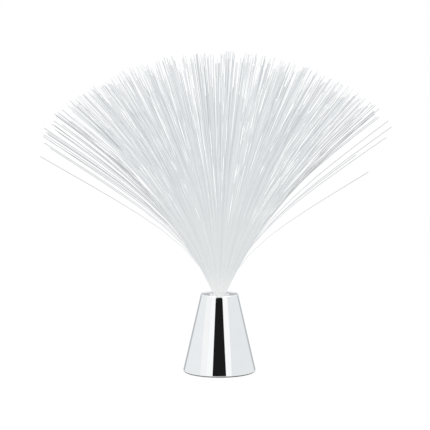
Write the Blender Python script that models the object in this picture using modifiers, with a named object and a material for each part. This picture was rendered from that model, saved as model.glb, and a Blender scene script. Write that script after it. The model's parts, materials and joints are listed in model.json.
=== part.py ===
"""Table lamp whose light leaves by a spray of bare optical fibres.

A chromed cone stands on four thin pads and holds three cells upright, a
colour-changing light on a small board, and a slide switch reached from below.
The fibres are potted into a flanged ferrule that drops into a socket in the
top of the cone, right above the light. All lengths are in metres, +Z is up,
and the origin is the middle of the footprint, on the table.
"""

import math
import random

import bmesh
import bpy
from mathutils import Matrix, Vector

# Clearances and finish that all the pieces share.
SEAT_GAP = 0.0003          # left between two pieces that touch
CUT_OVERRUN = 0.001        # how far a cutter runs past the skin that it opens
EDGE_ROUND = 0.0003        # softening of moulded edges
WELD_DISTANCE = 0.000001   # closes the seam and the poles of a turned shape

# Chromed cone.
BASE_RADIUS = 0.037        # lower edge
LIP_RADIUS = 0.019         # upper lip
SHELL_WALL = 0.002
LIP_ROUND = 0.0008         # roll of the lip, which also sets how deep the top ring lies
RING_THICKNESS = 0.0022    # ring between the lip and the socket
SOCKET_WALL = 0.0015
SHELL_BOSS_RADIUS = 0.0032
BOSS_SKIN_SHARE = 0.4      # share of the wall left outside a screw boss
BOSS_END = 0.0015          # closed end of a blind boss

# Base plate with the well for the cells.
PAD_PROUD = 0.0005         # the plate hangs this far above the table
RIM_HEIGHT = 0.0008        # edge of the plate that shows under the cone
RIM_INSET = 0.0006         # the rim lies this far inside the cone's lower edge
WEB_THICKNESS = 0.0022
SPIGOT_HEIGHT = 0.0043     # wall that centres the cone, above the rim
SPIGOT_WALL = 0.0015
CHAMBER_DEPTH = 0.002      # round space above the door, under the three tubes
WELL_FLOOR = 0.0015
WELL_WALL = 0.0012         # wall round each cell
RISER_WALL = 0.0015        # wall round the door's recess
RIB_BETWEEN_CELLS = 0.001
CAP_THICKNESS = 0.002
CAP_RIM = 0.0012

# Pads and screws.
PAD_RADIUS = 0.00375
PAD_THICKNESS = 0.0008
PAD_INSET = 0.002           # from the plate's edge to a pad
PAD_COUNT = 4
PLATE_SCREW_COUNT = 3
PLATE_SCREW_RADIUS = 0.0012
PLATE_SCREW_HEAD_RADIUS = 0.0023
PLATE_SCREW_HEAD = 0.0014
PLATE_BOSS_RADIUS = 0.003
PLATE_BOSS_SUNK = 0.001     # how far a screw boss reaches into the spigot
DOOR_SCREW_HEAD_SHARE = 0.33    # radius, as a share of the door's ledge
DOOR_SCREW_SHARE = 0.53         # radius of the shank, as a share of the head's
DOOR_SCREW_HEAD = 0.001
DOOR_SCREW_GRIP = 0.0065    # thread above the door's seat
DOOR_BOSS_RADIUS = 0.0026
BOARD_SCREW_RADIUS = 0.001
BOARD_SCREW_HEAD_RADIUS = 0.0019
BOARD_SCREW_HEAD = 0.0013
BOARD_SCREW_GRIP = 0.007
BOARD_BOSS_RADIUS = 0.0024
HEAD_SUNK = 0.0001          # screw heads lie this far inside the underside

# Cells and their contacts.
CELL_RADIUS = 0.0071
CELL_LENGTH = 0.0505        # over the positive nub
CELL_SHOULDER = 0.0005
NUB_RADIUS = 0.00275
NUB_HEIGHT = 0.001
CELL_CLEARANCE = 0.0004
CONTACT_THICKNESS = 0.0004
CONTACT_WIDTH = 0.0086
CONTACT_OVERHANG = 0.0042   # how far a strap runs past the middle of a cell
TAB_WIDTH = 0.004
TAB_ABOVE_BOARD = 0.0006
BLADE_WIDTH = 0.003
BLADE_RISE = 0.0028         # above the floor of the well
BLADE_INSET = 0.0044        # from the chamber's wall
SPRING_HEIGHT = 0.004       # with the cell pressed in
SPRING_RADIUS = 0.004
SPRING_WIRE = 0.0006
SPRING_TURNS = 3
POINTS_PER_TURN = 8

# Door under the cells.
DOOR_THICKNESS = 0.002
DOOR_LEDGE_SHARE = 0.38     # seat of the door, as a share of the ring from chamber to spigot
DOOR_SPIGOT_HEIGHT = 0.0016
DOOR_SPIGOT_WALL = 0.0012

# Board, light and driver.
BOARD_THICKNESS = 0.0012
BOARD_INSET = 0.0017        # from the cap's edge
LED_HEIGHT = 0.0086
LED_RADIUS = 0.0025
LED_FLANGE_RADIUS = 0.0029
LED_FLANGE_HEIGHT = 0.001
CUP_HEIGHT = 0.007
CUP_CLEARANCE = 0.0006
CUP_LIP = 0.0006
CHIP_LENGTH = 0.005
CHIP_WIDTH = 0.004
CHIP_HEIGHT = 0.0015

# Slide switch.
SWITCH_LENGTH = 0.0116
SWITCH_CLEARANCE = 0.0005   # to the wall on either side, which sets the switch's width
SWITCH_HEIGHT = 0.005
SWITCH_SKIN = 0.0006        # lower face of the switch, which the knob passes
SWITCH_WALL = 0.00035
EAR_REACH = 0.0026
EAR_WIDTH_SHARE = 0.75      # of the switch's width
EAR_THICKNESS = 0.0008
STAKE_RADIUS = 0.0006
STAKE_PROUD = 0.0006
KNOB_LENGTH = 0.004
KNOB_WIDTH_SHARE = 0.6      # of the slider's width
KNOB_SUNK = 0.0004          # the knob ends this far above the plate's underside
SLIDER_LENGTH = 0.0064
SLIDER_HEIGHT = 0.002
SWITCH_TRAVEL = 0.003
LUG_PITCH = 0.0025
LUG_WIDTH = 0.001
LUG_THICKNESS = 0.0005
LUG_HEIGHT = 0.0022

# Leads.
LEAD_RADIUS = 0.0006
LEAD_BEND = 0.003           # height of a lead's bow over what it bridges
POINTS_PER_SPAN = 4

# Ferrule and fibres.
BUNDLE_RADIUS = 0.0072
POTTED_LENGTH = 0.008
FERRULE_WALL = 0.001
FLANGE_OVERHANG = 0.0014    # beyond the sleeve
FLANGE_THICKNESS = 0.0012
SLEEVE_LENGTH = 0.014
STRAND_LENGTH = 0.246
STRAND_WIDTH = 0.00045
LENGTH_SPREAD_SHARE = 0.025   # how unevenly the fibres are cut
STRAND_RINGS = 11             # three times its square is the number of strands
STATION_SHARES = (0.2, 0.55, 1.0)
START_LEAN = math.radians(26)      # of the outermost fibres as they leave the ferrule
END_LEAN = math.radians(59)        # of their tips
LEAN_SPREAD = math.radians(1.2)    # how far a tip strays sideways or down from its even place
STRAY_LEAN = math.radians(9)       # most that an outermost fibre droops beyond its neighbours
WIDEST_LEAN = math.radians(9)      # droop of the four widest fibres

# Facets.
LARGE_STEPS = 52
PLATE_STEPS = 40
TUBE_STEPS = 24
CELL_STEPS = 20
SMALL_STEPS = 12
ARC_STEPS = 5
SEED = 7

# Directions of the cells and of what is set between them.
CELL_ANGLES = [math.radians(a) for a in (90, 210, 330)]
BOARD_SCREW_ANGLES = [math.radians(a) for a in (30, 150)]
DOOR_SCREW_ANGLES = [math.radians(a) for a in (0, 180)]
LEAD_SIDE = math.radians(270)       # the switch, the leads and the blade lie on this side

# Heights, from the table up.
plate_bottom = PAD_PROUD
rim_top = plate_bottom + RIM_HEIGHT
shell_bottom = rim_top + SEAT_GAP
web_top = plate_bottom + WEB_THICKNESS
spigot_top = rim_top + SPIGOT_HEIGHT
door_top = plate_bottom + DOOR_THICKNESS
door_seat = door_top + SEAT_GAP
chamber_top = door_seat + CHAMBER_DEPTH
pan_top = chamber_top + WELL_FLOOR
low_strap = door_top + SEAT_GAP
spring_low = low_strap + CONTACT_THICKNESS + SEAT_GAP
raised_cell = spring_low + SPRING_HEIGHT + SEAT_GAP
well_top = raised_cell + CELL_LENGTH
high_strap = well_top + SEAT_GAP
cap_ceiling = high_strap + CONTACT_THICKNESS + SEAT_GAP
cap_top = cap_ceiling + CAP_THICKNESS
board_low = cap_top + SEAT_GAP
board_top = board_low + BOARD_THICKNESS
light_low = board_top + SEAT_GAP
led_top = light_low + LED_HEIGHT
bundle_low = led_top + SEAT_GAP
base_height = bundle_low + POTTED_LENGTH
ring_top = base_height - LIP_ROUND
ring_low = ring_top - RING_THICKNESS
flange_low = base_height - FLANGE_THICKNESS
sleeve_low = base_height - SLEEVE_LENGTH

# Radii and places that follow from them.
taper = (BASE_RADIUS - LIP_RADIUS) / (ring_top - shell_bottom)
wall_across = SHELL_WALL * math.hypot(1, taper)
ferrule_bore = BUNDLE_RADIUS + SEAT_GAP
sleeve_radius = ferrule_bore + FERRULE_WALL
flange_radius = sleeve_radius + FLANGE_OVERHANG
socket_bore = sleeve_radius + SEAT_GAP
cell_bore = CELL_RADIUS + CELL_CLEARANCE
cell_circle = (2 * cell_bore + RIB_BETWEEN_CELLS) / math.sqrt(3)
tube_radius = cell_bore + WELL_WALL
chamber_radius = cell_circle + cell_bore + SEAT_GAP
cap_radius = cell_circle + tube_radius + SEAT_GAP
board_radius = cap_radius - BOARD_INSET
board_screw_circle = board_radius - BOARD_SCREW_HEAD_RADIUS - SEAT_GAP
plate_radius = BASE_RADIUS - RIM_INSET
pad_circle = plate_radius - PAD_RADIUS - PAD_INSET
blade_circle = chamber_radius - BLADE_INSET
cup_radius = ferrule_bore - CUP_CLEARANCE


def shell_outer(height):
    """Outer radius of the cone at a height."""
    return BASE_RADIUS - taper * (height - shell_bottom)


def shell_inner(height):
    """Inner radius of the cone at a height."""
    return shell_outer(height) - wall_across


spigot_outer = shell_inner(spigot_top) - SEAT_GAP
spigot_inner = spigot_outer - SPIGOT_WALL

# The ring between the cells' chamber and the spigot holds the door's seat, then the switch.
door_ledge = DOOR_LEDGE_SHARE * (spigot_inner - chamber_radius)
recess_radius = chamber_radius + door_ledge
riser_radius = recess_radius + RISER_WALL
door_radius = recess_radius - SEAT_GAP
door_screw_circle = (chamber_radius + door_radius) / 2
door_screw_head = DOOR_SCREW_HEAD_SHARE * door_ledge
door_screw_shank = DOOR_SCREW_SHARE * door_screw_head
switch_low_side = riser_radius + SWITCH_CLEARANCE
switch_high_side = math.sqrt((spigot_inner - SWITCH_CLEARANCE) ** 2 - (SWITCH_LENGTH / 2) ** 2)
switch_width = switch_high_side - switch_low_side
switch_circle = (switch_low_side + switch_high_side) / 2
slider_width = switch_width - 2 * (SWITCH_WALL + SEAT_GAP)
knob_width = KNOB_WIDTH_SHARE * slider_width
plate_screw_circle = spigot_inner + PLATE_BOSS_SUNK - PLATE_BOSS_RADIUS
boss_outer = plate_screw_circle + SHELL_BOSS_RADIUS
boss_low = max(spigot_top, pan_top) + SEAT_GAP
boss_top = shell_bottom + (BASE_RADIUS - boss_outer - BOSS_SKIN_SHARE * SHELL_WALL) / taper
lead_column = board_radius + SEAT_GAP + LEAD_RADIUS


def clear_scene():
    """Remove what the file opened with, and make the two collections."""
    for thing in list(bpy.data.objects):
        bpy.data.objects.remove(thing, do_unlink=True)
    made = []
    for name in ("fiber_optic_lamp", "cutters"):
        group = bpy.data.collections.new(name)
        bpy.context.scene.collection.children.link(group)
        made.append(group)
    return made


PARTS, CUTTERS = clear_scene()


def principled(name, colour, roughness, metallic=0.0):
    """A plain material with a colour, a roughness and a metallic value."""
    material = bpy.data.materials.new(name)
    material.use_nodes = True
    shader = material.node_tree.nodes["Principled BSDF"]
    shader.inputs["Base Color"].default_value = (*colour, 1.0)
    shader.inputs["Roughness"].default_value = roughness
    shader.inputs["Metallic"].default_value = metallic
    material.diffuse_color = (*colour, 1.0)
    return material


CHROME = principled("chrome", (0.86, 0.87, 0.88), 0.04, 1.0)
PLATE_GREY = principled("grey_abs", (0.16, 0.16, 0.17), 0.55)
DOOR_GREY = principled("door_abs", (0.19, 0.19, 0.2), 0.5)
PAD_BLACK = principled("pad_foam", (0.03, 0.03, 0.03), 0.9)
STEEL = principled("zinc_steel", (0.62, 0.62, 0.6), 0.3, 1.0)
NICKEL = principled("nickel", (0.7, 0.68, 0.62), 0.25, 1.0)
CELL_JACKET = principled("cell_jacket", (0.5, 0.52, 0.55), 0.35, 0.6)
BOARD_GREEN = principled("board_green", (0.03, 0.22, 0.09), 0.45)
CHIP_BLACK = principled("chip_black", (0.02, 0.02, 0.02), 0.5)
LENS_CLEAR = principled("lens_clear", (0.85, 0.88, 0.9), 0.1)
WHITE_PLASTIC = principled("white_plastic", (0.88, 0.88, 0.87), 0.35)
KNOB_BLACK = principled("knob_black", (0.03, 0.03, 0.03), 0.45)
LEAD_RED = principled("lead_red", (0.6, 0.03, 0.02), 0.45)
LEAD_BLACK = principled("lead_black", (0.02, 0.02, 0.02), 0.45)
FIBRE = principled("optical_fibre", (0.88, 0.91, 0.95), 0.2)


def place(name, mesh, material):
    """A named piece of the lamp."""
    thing = bpy.data.objects.new(name, mesh)
    PARTS.objects.link(thing)
    if material:
        mesh.materials.append(material)
    return thing


def hide(thing):
    """Turn an object into a tool that only cuts or joins."""
    for group in list(thing.users_collection):
        group.objects.unlink(thing)
    CUTTERS.objects.link(thing)
    thing.hide_render = True
    thing.display_type = "WIRE"
    return thing


def polar(radius, angle, height=0.0):
    """The point at a radius and a direction from the lamp's axis."""
    return Vector((radius * math.cos(angle), radius * math.sin(angle), height))


def arc(middle, radius, start, end):
    """Points of a round stretch of a profile, its angles in degrees from outward."""
    points = []
    for step in range(ARC_STEPS + 1):
        angle = math.radians(start + (end - start) * step / ARC_STEPS)
        across = middle[0] + radius * math.cos(angle)
        points.append((across, middle[1] + radius * math.sin(angle)))
    return points


def turned(name, profile, material=None, steps=TUBE_STEPS, ring=False):
    """A shape of revolution; the profile runs down its outer side, ring closes it."""
    mesh = bpy.data.meshes.new(name)
    count = len(profile)
    edges = [(i, i + 1) for i in range(count - 1)]
    if ring:
        edges.append((count - 1, 0))
    mesh.from_pydata([(r, 0.0, z) for r, z in profile], edges, [])
    thing = place(name, mesh, material)
    screw = thing.modifiers.new("turn", "SCREW")
    screw.steps = steps
    screw.render_steps = steps
    screw.use_merge_vertices = True
    screw.merge_threshold = WELD_DISTANCE
    screw.use_smooth_shade = True
    return thing


def drum(name, radius, low, high, at=None, steps=TUBE_STEPS, material=None):
    """An upright round solid between two heights."""
    bm = bmesh.new()
    bmesh.ops.create_cone(
        bm, cap_ends=True, segments=steps, radius1=radius, radius2=radius, depth=high - low
    )
    mesh = bpy.data.meshes.new(name)
    bm.to_mesh(mesh)
    bm.free()
    thing = place(name, mesh, material)
    centre = Vector((0.0, 0.0, (low + high) / 2))
    thing.location = centre + (at or Vector())
    return thing


def block(name, size, centre, heading=0.0, rounding=0.0, material=None):
    """A box with its middle at a point, turned about the upright, edges softened."""
    bm = bmesh.new()
    bmesh.ops.create_cube(bm, size=1.0, matrix=Matrix.Diagonal((*size, 1.0)))
    mesh = bpy.data.meshes.new(name)
    bm.to_mesh(mesh)
    bm.free()
    thing = place(name, mesh, material)
    thing.location = centre
    thing.rotation_euler = (0.0, 0.0, heading)
    if rounding:
        soften(thing, rounding)
    return thing


def soften(thing, width):
    """Round the edges of a piece by one step."""
    bevel = thing.modifiers.new("soften", "BEVEL")
    bevel.width = width
    bevel.segments = 1
    bevel.limit_method = "ANGLE"


def combine(thing, operation, tools):
    """Join tools to a piece, or cut them out of it."""
    for tool in tools:
        boolean = thing.modifiers.new(f"{operation.lower()}_{tool.name}", "BOOLEAN")
        boolean.operation = operation
        boolean.solver = "EXACT"
        boolean.object = hide(tool)


def join(thing, *tools):
    """Grow a piece by other solids that reach into it."""
    combine(thing, "UNION", tools)


def cut(thing, *tools):
    """Cut solids out of a piece."""
    combine(thing, "DIFFERENCE", tools)


def screw(name, sizes, seat, up=True):
    """A pan-head screw whose head bears on a seat, its shank pointing up or down."""
    head_radius, head_height, shank_radius, shank_length = sizes
    profile = [
        (0.0, shank_length),
        (shank_radius - EDGE_ROUND, shank_length),
        (shank_radius, shank_length - shank_radius),
        (shank_radius, 0.0),
        (head_radius, 0.0),
        (head_radius, -head_height + EDGE_ROUND),
        (head_radius - EDGE_ROUND, -head_height),
        (0.0, -head_height),
    ]
    thing = turned(name, profile, STEEL, SMALL_STEPS)
    thing.location = seat
    if not up:
        thing.rotation_euler = (math.pi, 0.0, 0.0)
    return thing


def tube(name, points, radius, material, resolution=2):
    """A round wire along a run of points."""
    curve = bpy.data.curves.new(name, "CURVE")
    curve.dimensions = "3D"
    spline = curve.splines.new("POLY")
    spline.points.add(len(points) - 1)
    for slot, point in zip(spline.points, points):
        slot.co = (*point, 1.0)
    curve.bevel_depth = radius
    curve.bevel_resolution = resolution
    curve.use_fill_caps = True
    curve.materials.append(material)
    thing = bpy.data.objects.new(name, curve)
    PARTS.objects.link(thing)
    return thing


def smooth_route(stops):
    """Points of a smooth curve through a lead's stops."""
    points = []
    padded = [stops[0] * 2 - stops[1], *stops, stops[-1] * 2 - stops[-2]]
    for i in range(1, len(padded) - 2):
        before, here, ahead, beyond = padded[i - 1 : i + 3]
        for step in range(POINTS_PER_SPAN):
            t = step / POINTS_PER_SPAN
            points.append(
                0.5
                * (
                    2 * here
                    + (ahead - before) * t
                    + (2 * before - 5 * here + 4 * ahead - beyond) * t**2
                    + (3 * here - before - 3 * ahead + beyond) * t**3
                )
            )
    points.append(stops[-1])
    return points


def make_shell():
    """The cone, its rolled lip, its top ring with the socket, and three screw bosses."""
    seat = flange_low - SEAT_GAP
    seat_radius = flange_radius + SEAT_GAP
    socket_radius = socket_bore + SOCKET_WALL
    lip_middle = (LIP_RADIUS - LIP_ROUND, ring_top)
    profile = [
        (socket_bore, seat),
        (seat_radius, seat),
        (seat_radius, ring_top),
        *reversed(arc(lip_middle, LIP_ROUND, 0, 180)),
        (BASE_RADIUS - taper * EDGE_ROUND, shell_bottom + EDGE_ROUND),
        (BASE_RADIUS - EDGE_ROUND, shell_bottom),
        (shell_inner(shell_bottom), shell_bottom),
        (shell_inner(ring_low), ring_low),
        (socket_radius, ring_low),
        (socket_radius, sleeve_low),
        (socket_bore, sleeve_low),
    ]
    shell = turned("base_shell", profile, CHROME, LARGE_STEPS, ring=True)
    pilot = PLATE_SCREW_RADIUS + SEAT_GAP
    for i, angle in enumerate(CELL_ANGLES[:PLATE_SCREW_COUNT], 1):
        at = polar(plate_screw_circle, angle)
        join(shell, drum(f"shell_boss_{i}", SHELL_BOSS_RADIUS, boss_low, boss_top, at))
        low = boss_low - CUT_OVERRUN
        cut(shell, drum(f"shell_pilot_{i}", pilot, low, boss_top - BOSS_END, at, SMALL_STEPS))
        seat_at = polar(plate_screw_circle, angle, plate_bottom + HEAD_SUNK + PLATE_SCREW_HEAD)
        length = boss_top - BOSS_END - SEAT_GAP - seat_at.z
        sizes = (PLATE_SCREW_HEAD_RADIUS, PLATE_SCREW_HEAD, PLATE_SCREW_RADIUS, length)
        screw(f"plate_screw_{i}", sizes, seat_at)


def make_plate():
    """The base plate: rim, spigot, door recess and the three tubes for the cells."""
    rim = plate_radius - EDGE_ROUND
    profile = [
        (0.0, pan_top),
        (riser_radius, pan_top),
        (riser_radius, web_top),
        (spigot_inner, web_top),
        (spigot_inner, spigot_top),
        (spigot_outer, spigot_top),
        (shell_inner(shell_bottom) - SEAT_GAP, rim_top),
        (plate_radius, rim_top),
        (plate_radius, plate_bottom + EDGE_ROUND),
        (rim, plate_bottom),
        (recess_radius, plate_bottom),
        (recess_radius, door_seat),
        (chamber_radius, door_seat),
        (chamber_radius, chamber_top),
        (0.0, chamber_top),
    ]
    plate = turned("base_plate", profile, PLATE_GREY, PLATE_STEPS)
    inside_floor = (chamber_top + pan_top) / 2
    for i, angle in enumerate(CELL_ANGLES, 1):
        at = polar(cell_circle, angle)
        high = well_top + i * CUT_OVERRUN
        join(plate, drum(f"cell_tube_{i}", tube_radius, inside_floor, high, at))
    core = cell_circle - cell_bore - SEAT_GAP
    above = well_top + (len(CELL_ANGLES) + 1) * CUT_OVERRUN
    join(plate, drum("well_core", core, inside_floor, above, steps=SMALL_STEPS))
    for i, angle in enumerate(BOARD_SCREW_ANGLES, 1):
        at = polar(board_screw_circle, angle)
        high = above + i * CUT_OVERRUN
        join(plate, drum(f"board_boss_{i}", BOARD_BOSS_RADIUS, inside_floor, high, at, SMALL_STEPS))
    door_boss_top = door_seat + DOOR_SCREW_GRIP + BOSS_END
    for i, angle in enumerate(DOOR_SCREW_ANGLES, 1):
        at = polar(door_screw_circle, angle)
        high = door_boss_top + SEAT_GAP
        join(plate, drum(f"door_boss_{i}", DOOR_BOSS_RADIUS, inside_floor, high, at, SMALL_STEPS))
    inside_web = (plate_bottom + web_top) / 2
    for i, angle in enumerate(CELL_ANGLES[:PLATE_SCREW_COUNT], 1):
        at = polar(plate_screw_circle, angle)
        high = spigot_top - EDGE_ROUND
        join(plate, drum(f"plate_boss_{i}", PLATE_BOSS_RADIUS, inside_web, high, at, SMALL_STEPS))
    stake_top = web_top + SEAT_GAP + EAR_THICKNESS + STAKE_PROUD
    for side in (-1, 1):
        at = Vector((side * (SWITCH_LENGTH + EAR_REACH) / 2, -switch_circle, 0.0))
        name = "stake_left" if side < 0 else "stake_right"
        join(plate, drum(name, STAKE_RADIUS, inside_web, stake_top, at, SMALL_STEPS))

    # The tubes are faced off level, then bored for the cells, screws and blade.
    wide = 2 * (cap_radius + CUT_OVERRUN)
    tall = (len(CELL_ANGLES) + len(BOARD_SCREW_ANGLES) + 2) * CUT_OVERRUN
    facing = block("facing", (wide, wide, tall), Vector((0.0, 0.0, well_top + tall / 2)))
    cut(plate, facing)
    low = chamber_top - CUT_OVERRUN
    high = well_top + CUT_OVERRUN
    for i, angle in enumerate(CELL_ANGLES, 1):
        cut(plate, drum(f"cell_bore_{i}", cell_bore, low, high, polar(cell_circle, angle)))
    pilot = BOARD_SCREW_RADIUS + SEAT_GAP
    for i, angle in enumerate(BOARD_SCREW_ANGLES, 1):
        at = polar(board_screw_circle, angle)
        depth = well_top - BOARD_SCREW_GRIP - SEAT_GAP
        cut(plate, drum(f"board_pilot_{i}", pilot, depth, high, at, SMALL_STEPS))
    pilot = door_screw_shank + SEAT_GAP
    for i, angle in enumerate(DOOR_SCREW_ANGLES, 1):
        at = polar(door_screw_circle, angle)
        top = door_seat + DOOR_SCREW_GRIP + SEAT_GAP
        cut(plate, drum(f"door_pilot_{i}", pilot, door_seat - CUT_OVERRUN, top, at, SMALL_STEPS))
    below = plate_bottom - CUT_OVERRUN
    for i, angle in enumerate(CELL_ANGLES[:PLATE_SCREW_COUNT], 1):
        at = polar(plate_screw_circle, angle)
        floor = plate_bottom + HEAD_SUNK + PLATE_SCREW_HEAD + SEAT_GAP
        head = PLATE_SCREW_HEAD_RADIUS + SEAT_GAP
        cut(plate, drum(f"plate_sink_{i}", head, below, floor, at, SMALL_STEPS))
        hole = PLATE_SCREW_RADIUS + SEAT_GAP
        cut(plate, drum(f"plate_hole_{i}", hole, below, spigot_top, at, SMALL_STEPS))
    pocket = PAD_RADIUS + SEAT_GAP
    for i in range(PAD_COUNT):
        at = polar(pad_circle, math.tau * (i + 0.5) / PAD_COUNT)
        top = PAD_THICKNESS + SEAT_GAP
        cut(plate, drum(f"pad_pocket_{i + 1}", pocket, below, top, at))
    window = (
        KNOB_LENGTH + SWITCH_TRAVEL + 2 * SEAT_GAP,
        knob_width + 2 * SEAT_GAP,
        WEB_THICKNESS + 2 * CUT_OVERRUN,
    )
    middle = Vector((0.0, -switch_circle, (plate_bottom + web_top) / 2))
    cut(plate, block("switch_window", window, middle))
    slit = (BLADE_WIDTH + 2 * SEAT_GAP, CONTACT_THICKNESS + 2 * SEAT_GAP, WELL_FLOOR + 2 * CUT_OVERRUN)
    cut(plate, block("blade_slit", slit, polar(blade_circle, LEAD_SIDE, inside_floor)))


def make_pads():
    """Thin pads set into the underside, on which the lamp stands."""
    profile = [
        (0.0, PAD_THICKNESS),
        (PAD_RADIUS, PAD_THICKNESS),
        (PAD_RADIUS, EDGE_ROUND),
        (PAD_RADIUS - EDGE_ROUND, 0.0),
        (0.0, 0.0),
    ]
    for i in range(PAD_COUNT):
        pad = turned(f"foot_pad_{i + 1}", profile, PAD_BLACK, SMALL_STEPS)
        pad.location = polar(pad_circle, math.tau * (i + 0.5) / PAD_COUNT)


def make_cells():
    """Three cells in series: the middle one stands on its nub."""
    shoulder = CELL_LENGTH - NUB_HEIGHT
    profile = [
        (0.0, CELL_LENGTH),
        (NUB_RADIUS - EDGE_ROUND, CELL_LENGTH),
        (NUB_RADIUS, CELL_LENGTH - EDGE_ROUND),
        (NUB_RADIUS, shoulder),
        (CELL_RADIUS - CELL_SHOULDER, shoulder),
        (CELL_RADIUS, shoulder - CELL_SHOULDER),
        (CELL_RADIUS, CELL_SHOULDER),
        (CELL_RADIUS - CELL_SHOULDER, 0.0),
        (0.0, 0.0),
    ]
    for i, angle in enumerate(CELL_ANGLES, 1):
        cell = turned(f"cell_{i}", profile, CELL_JACKET, CELL_STEPS)
        if i == 2:
            cell.location = polar(cell_circle, angle, spring_low + CELL_LENGTH)
            cell.rotation_euler = (math.pi, 0.0, 0.0)
        else:
            cell.location = polar(cell_circle, angle, raised_cell)


def strap(name, start, end, low, width=CONTACT_WIDTH):
    """A flat contact strip from one point to another."""
    run = end - start
    size = (run.length, width, CONTACT_THICKNESS)
    centre = (start + end) / 2
    centre.z = low + CONTACT_THICKNESS / 2
    heading = math.atan2(run.y, run.x)
    return block(name, size, centre, heading, material=NICKEL)


def spring(name, angle, low):
    """A pressed coil between a strap and a cell."""
    count = SPRING_TURNS * POINTS_PER_TURN
    rise = SPRING_HEIGHT - SPRING_WIRE
    points = []
    for step in range(count + 1):
        turn = math.tau * step / POINTS_PER_TURN
        height = SPRING_WIRE / 2 + rise * step / count
        points.append(polar(SPRING_RADIUS, turn, height))
    gap = rise / SPRING_TURNS - SPRING_WIRE
    print(f"{name}: least gap between its turns {gap * 1000:.2f} mm")
    coil = tube(name, points, SPRING_WIRE / 2, NICKEL, resolution=1)
    coil.location = polar(cell_circle, angle, low)


def make_contacts():
    """Straps, springs, the tab to the board and the blade that meets the door."""
    first, second, third = (polar(cell_circle, angle) for angle in CELL_ANGLES)

    def beyond(here, away_from):
        return here + (here - away_from).normalized() * CONTACT_OVERHANG

    strap("top_bridge", beyond(second, third), beyond(third, second), high_strap)
    strap("door_bridge", beyond(first, second), beyond(second, first), low_strap)
    blade_foot = polar(blade_circle, LEAD_SIDE)
    to_blade = (blade_foot - third).normalized()
    near_side = third + to_blade * CONTACT_OVERHANG
    door_contact = strap("door_contact", beyond(third, blade_foot), near_side, low_strap)
    tongue_end = blade_foot + to_blade * (BLADE_WIDTH / 2)
    join(door_contact, strap("tongue", third, tongue_end, low_strap, BLADE_WIDTH))
    spring("door_spring_1", CELL_ANGLES[0], spring_low)
    spring("door_spring_2", CELL_ANGLES[2], spring_low)
    spring("top_spring", CELL_ANGLES[1], spring_low + CELL_LENGTH + SEAT_GAP)

    # The tab bends up from over the first cell and passes the cap and the board.
    inner = first - first.normalized() * CONTACT_OVERHANG
    tab_at = first.length + NUB_RADIUS
    top_contact = strap(
        "top_contact", inner, polar(tab_at, CELL_ANGLES[0]), high_strap, TAB_WIDTH
    )
    tab_top = board_top + TAB_ABOVE_BOARD
    size = (CONTACT_THICKNESS, TAB_WIDTH - 2 * EDGE_ROUND, tab_top - high_strap - EDGE_ROUND)
    middle = polar(tab_at - CONTACT_THICKNESS, CELL_ANGLES[0], (tab_top + high_strap + EDGE_ROUND) / 2)
    join(top_contact, block("tab", size, middle, CELL_ANGLES[0]))

    blade_low = spring_low
    size = (CONTACT_THICKNESS, BLADE_WIDTH, pan_top + BLADE_RISE - blade_low)
    middle = polar(blade_circle, LEAD_SIDE, (pan_top + BLADE_RISE + blade_low) / 2)
    block("return_blade", size, middle, LEAD_SIDE, material=NICKEL)
    return tab_at - CONTACT_THICKNESS


def make_door():
    """The round door with its spigot, and the two screws that stay in it."""
    spigot = chamber_radius - SEAT_GAP
    spigot_in = spigot - DOOR_SPIGOT_WALL
    profile = [
        (0.0, door_top),
        (spigot_in, door_top),
        (spigot_in, door_top + DOOR_SPIGOT_HEIGHT),
        (spigot, door_top + DOOR_SPIGOT_HEIGHT),
        (spigot, door_top),
        (door_radius, door_top),
        (door_radius, plate_bottom + EDGE_ROUND),
        (door_radius - EDGE_ROUND, plate_bottom),
        (0.0, plate_bottom),
    ]
    door = turned("battery_door", profile, DOOR_GREY, PLATE_STEPS)
    below = plate_bottom - CUT_OVERRUN
    for i, angle in enumerate(DOOR_SCREW_ANGLES, 1):
        at = polar(door_screw_circle, angle)
        seat_at = polar(door_screw_circle, angle, plate_bottom + HEAD_SUNK + DOOR_SCREW_HEAD)
        head = door_screw_head + SEAT_GAP
        cut(door, drum(f"door_sink_{i}", head, below, seat_at.z + SEAT_GAP, at, SMALL_STEPS))
        hole = door_screw_shank + SEAT_GAP
        high = door_top + CUT_OVERRUN
        cut(door, drum(f"door_hole_{i}", hole, below, high, at, SMALL_STEPS))
        length = door_seat + DOOR_SCREW_GRIP - seat_at.z
        sizes = (door_screw_head, DOOR_SCREW_HEAD, door_screw_shank, length)
        screw(f"door_screw_{i}", sizes, seat_at)


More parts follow.
